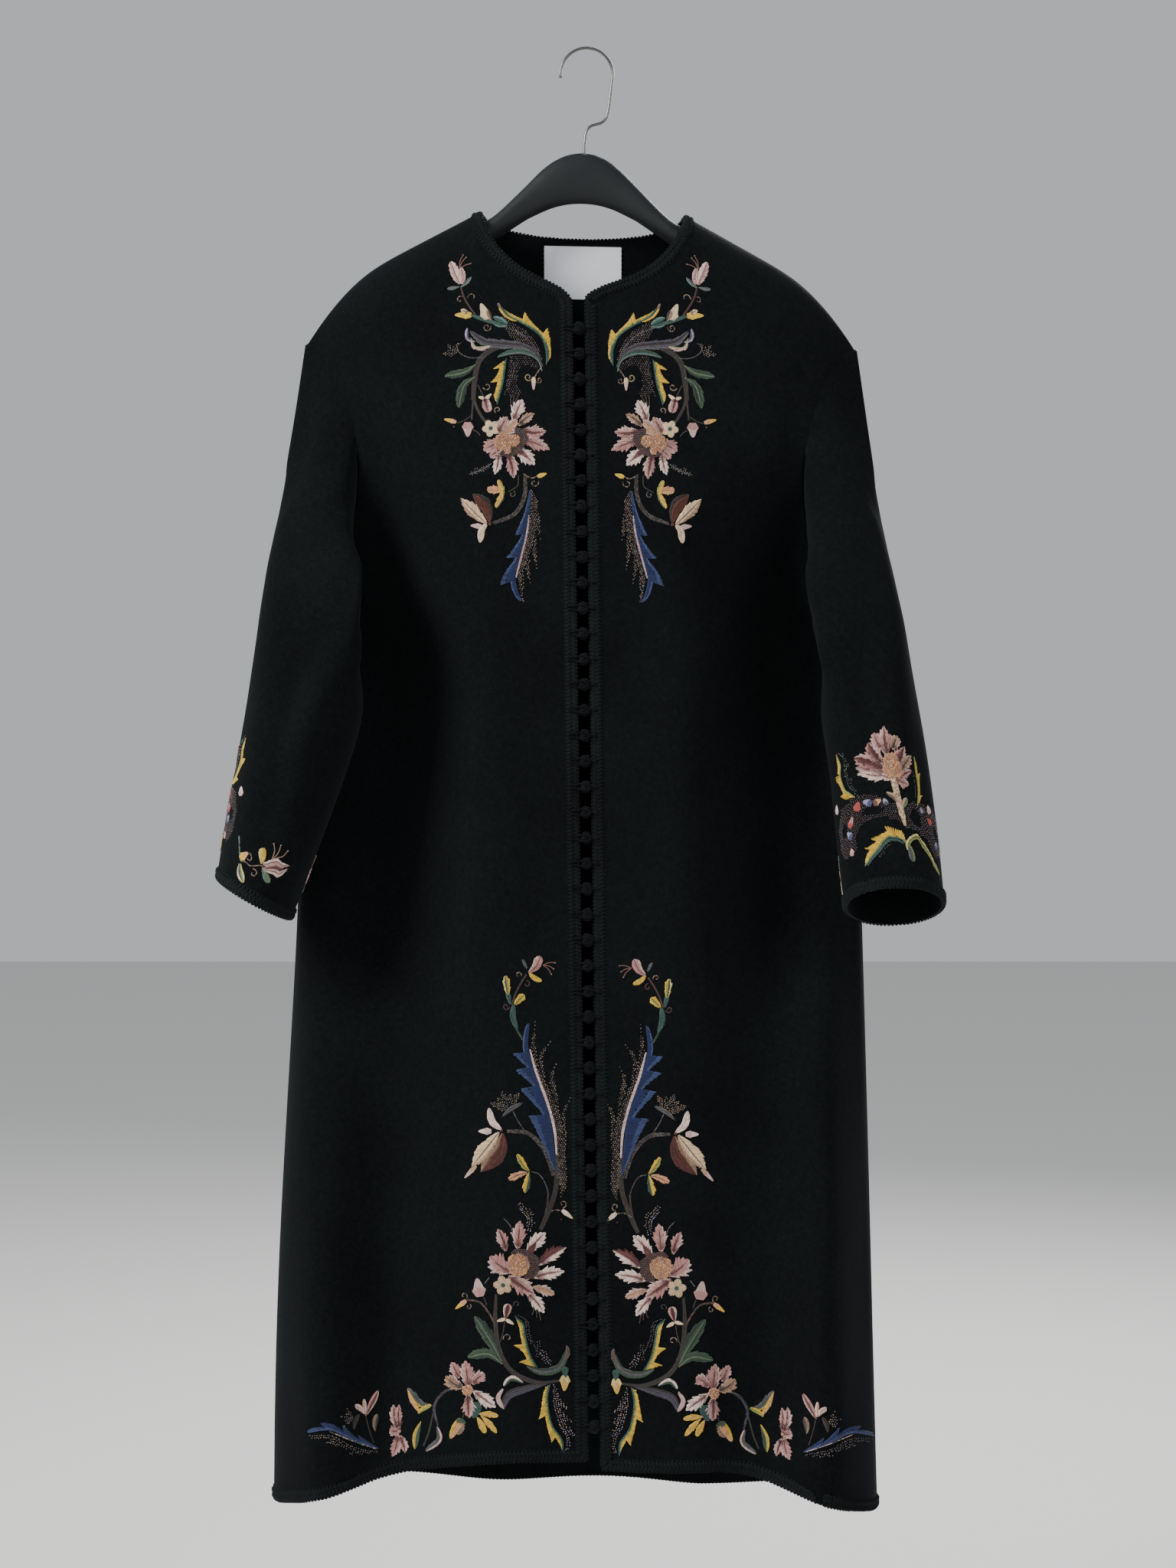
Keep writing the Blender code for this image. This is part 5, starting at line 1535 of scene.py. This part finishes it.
def knotButtons():
    # Every button is a plaited ball, held by a loop that is sewn down on the other braid
    bm = bmesh.new()
    edges = treeOf(cloth["frontLeft"], cloth["frontRight"], bpy.data.objects["braidFrontLeft"],
                   bpy.data.objects["braidFrontRight"])
    names = ["button_%02d" % (k + 1) for k in range(buttonLook["count"])]

    def onBraid(x, z, lift):
        hit, _, _, _ = edges.ray_cast(Vector((x, -0.5, z)), Vector((0, 1, 0)))
        return Vector((x, (hit.y if hit is not None else 0.0) - lift, z))

    for name in names:
        low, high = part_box(name)
        centre = (low + high) / 2
        turn = Matrix.Rotation(draw.uniform(-0.35, 0.35), 3, "X")
        turn = turn @ Matrix.Rotation(draw.uniform(-0.3, 0.3), 3, "Y")
        size = buttonLook["radius"] * draw.uniform(0.95, 1.06)
        for vert in bmesh.ops.create_icosphere(bm, subdivisions=3, radius=1.0)["verts"]:
            way = turn @ vert.co.normalized()
            angle = math.atan2(way.z, way.x)
            plait = abs(math.sin(1.5 * angle + 2.2 * way.y)) * abs(math.sin(1.5 * angle - 2.2 * way.y + 0.8))
            flat = Vector((vert.co.x, vert.co.y * 0.85, vert.co.z))
            vert.co = centre + flat * size * (1.12 + 0.34 * plait ** 0.5)
        lift = draw.uniform(-0.0004, 0.0004)
        for sign in (-1, 1):
            loop = [onBraid(centre.x - 0.0135, centre.z + sign * 0.0012 + lift, 0.0006),
                    onBraid(centre.x - 0.0088, centre.z + sign * 0.0014, 0.0008)]
            for x, y, z in ((-0.0046, -0.0026, 0.0024), (0.0, -0.0050, 0.0027), (0.0030, -0.0047, 0.0014),
                            (0.0036, -0.0045, 0.0)):
                loop.append(centre + Vector((x, y, sign * z)))
            tubeAlong(bm, loop, buttonLook["loopRadius"], 5)
        shank = [onBraid(centre.x + 0.0105, centre.z, 0.0004), onBraid(centre.x + 0.0085, centre.z, 0.0008),
                 centre + Vector((0.0050, -0.0012, 0.0)), centre]
        tubeAlong(bm, shank, buttonLook["cordRadius"], 6)
    bmesh.ops.recalc_face_normals(bm, faces=bm.faces)
    obj = objectFrom("knotButtons", bm, 80.0)
    finish(obj, woolMaterial("buttonCord", buttonLook), names)
    print("knots", len(obj.data.polygons))


knotButtons()


# Hanger and label

hangerLook = {
    "plastic": (0.0050, 0.0066, 0.0076), "worn": (0.0082, 0.0102, 0.0115), "steel": (0.150, 0.147, 0.142)}
labelLook = {
    "satin": (0.88, 0.89, 0.96), "bright": (0.95, 0.96, 0.99), "thread": (0.80, 0.80, 0.86), "stitches": 12}


def plasticMaterial():
    material, tree, shader = newMaterial("hangerPlastic")
    place = objectPlace(tree)
    grain, wear = noiseAt(tree, place, 1200.0, 3.0), noiseAt(tree, place, 22.0, 6.0, 0.7)
    setInputs(tree, shader, {
        "Base Color": blend(tree, wear, (*hangerLook["plastic"], 1), (*hangerLook["worn"], 1)),
        "Roughness": spread(tree, wear, 0.35, 0.75, 0.52, 0.70), "Normal": bumpOf(tree, grain, 0.25, 0.0002),
        "Specular IOR Level": 0.30})
    return material


def steelMaterial():
    material, tree, shader = newMaterial("hookSteel")
    scratch = noiseAt(tree, objectPlace(tree), 160.0)
    setInputs(tree, shader, {
        "Base Color": (*hangerLook["steel"], 1), "Metallic": 1.0,
        "Roughness": spread(tree, scratch, 0.0, 1.0, 0.26, 0.36)})
    return material


def satinMaterial():
    material, tree, shader = newMaterial("labelSatin")
    place = objectPlace(tree)
    cloud = noiseAt(tree, place, 60.0, 3.0)
    weave = combine(tree, "ADD", waveAt(tree, place, 900.0, 0.4, "Z"), waveAt(tree, place, 500.0, 0.4, "X"))
    setInputs(tree, shader, {
        "Base Color": blend(tree, cloud, (*labelLook["satin"], 1), (*labelLook["bright"], 1)),
        "Normal": bumpOf(tree, weave, 0.25, 0.0002), "Roughness": 0.42, "Sheen Weight": 0.15})
    return material


hangerBody = subdivided("hangerBody", "hanger_body", 2)
finish(hangerBody, plasticMaterial(), ("hanger_body",))
hangerHook = subdivided("hangerHook", "hanger_hook", 1)
finish(hangerHook, steelMaterial(), ("hanger_hook",))
neckLabel = subdivided("neckLabel", "neck_label", 2)
finish(neckLabel, satinMaterial(), ("neck_label",))
print("hanger and label", len(hangerBody.data.polygons), round(areaOf(neckLabel) / 2, 5))


def labelStitches():
    # Small slanted stitches that hold both ends of the label
    tree = treeOf(neckLabel, cloth["backPanel"])
    low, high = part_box("neck_label")
    heap = Heap()
    count = labelLook["stitches"]
    for sign, edge in ((1, low.x), (-1, high.x)):
        for k in range(count):
            z = mix(low.z + 0.002, high.z - 0.002, k / (count - 1))
            ends = []
            for x, drop in ((edge + sign * 0.0016, 0.0), (edge - sign * 0.0007, 0.0008)):
                before = Vector((x, low.y - 0.004, z - drop))
                hit, normal, _, _ = tree.ray_cast(before, Vector((0, 1, 0)), 0.03)
                if hit is not None:
                    ends.append((hit, normal))
            if len(ends) == 2:
                heap.ridge(*ends, 0.0006, 0.0003, 0.0001, labelLook["thread"])
    heap.piece("labelStitches", threadLook)


labelStitches()


# Stage and camera

stageLook = {
    "floor": (0.72, 0.71, 0.69), "floorHeight": -1.62, "sky": (0.80, 0.83, 0.86), "skyStrength": 0.62,
    "lamps": (  # place, target, size in metres, power in watts
        ("keyLight", (-2.5, -1.7, 1.3), (0.0, 0.0, -0.6), 1.3, 165.0),
        ("fillLight", (2.2, -2.0, 0.2), (0.0, 0.0, -0.7), 2.0, 32.0),
        ("backLight", (0.9, 2.4, 1.2), (0.0, 0.0, -0.6), 1.4, 110.0))}


def buildStage():
    bm = bmesh.new()
    bmesh.ops.create_grid(bm, x_segments=1, y_segments=1, size=12.0)
    bmesh.ops.translate(bm, verts=bm.verts, vec=(0, 0, stageLook["floorHeight"]))
    floor = objectFrom("floor", bm)
    material, tree, shader = newMaterial("floorPale")
    setInputs(tree, shader, {"Base Color": (*stageLook["floor"], 1), "Roughness": 0.9})
    floor.data.materials.append(material)
    world = bpy.data.worlds.new("studio")
    world.use_nodes = True
    setInputs(world.node_tree, world.node_tree.nodes["Background"], {
        "Color": (*stageLook["sky"], 1), "Strength": stageLook["skyStrength"]})
    bpy.context.scene.world = world
    for name, place, target, size, power in stageLook["lamps"]:
        lamp = bpy.data.lights.new(name, "AREA")
        lamp.energy = power
        lamp.size = size
        holder = bpy.data.objects.new(name, lamp)
        holder.location = place
        holder.rotation_euler = (Vector(target) - Vector(place)).to_track_quat("-Z", "Y").to_euler()
        bpy.context.scene.collection.objects.link(holder)


buildStage()

cameraData = bpy.data.cameras.new("photoCamera")
cameraData.lens = photo["lensMm"]
cameraData.sensor_fit = "VERTICAL"
cameraData.sensor_height = 36.0
cameraData.clip_end = 60.0
photoCamera = bpy.data.objects.new("photoCamera", cameraData)
photoCamera.location = photo["camera"]
photoCamera.rotation_euler = (math.pi / 2, 0, 0)
bpy.context.scene.collection.objects.link(photoCamera)
bpy.context.scene.camera = photoCamera
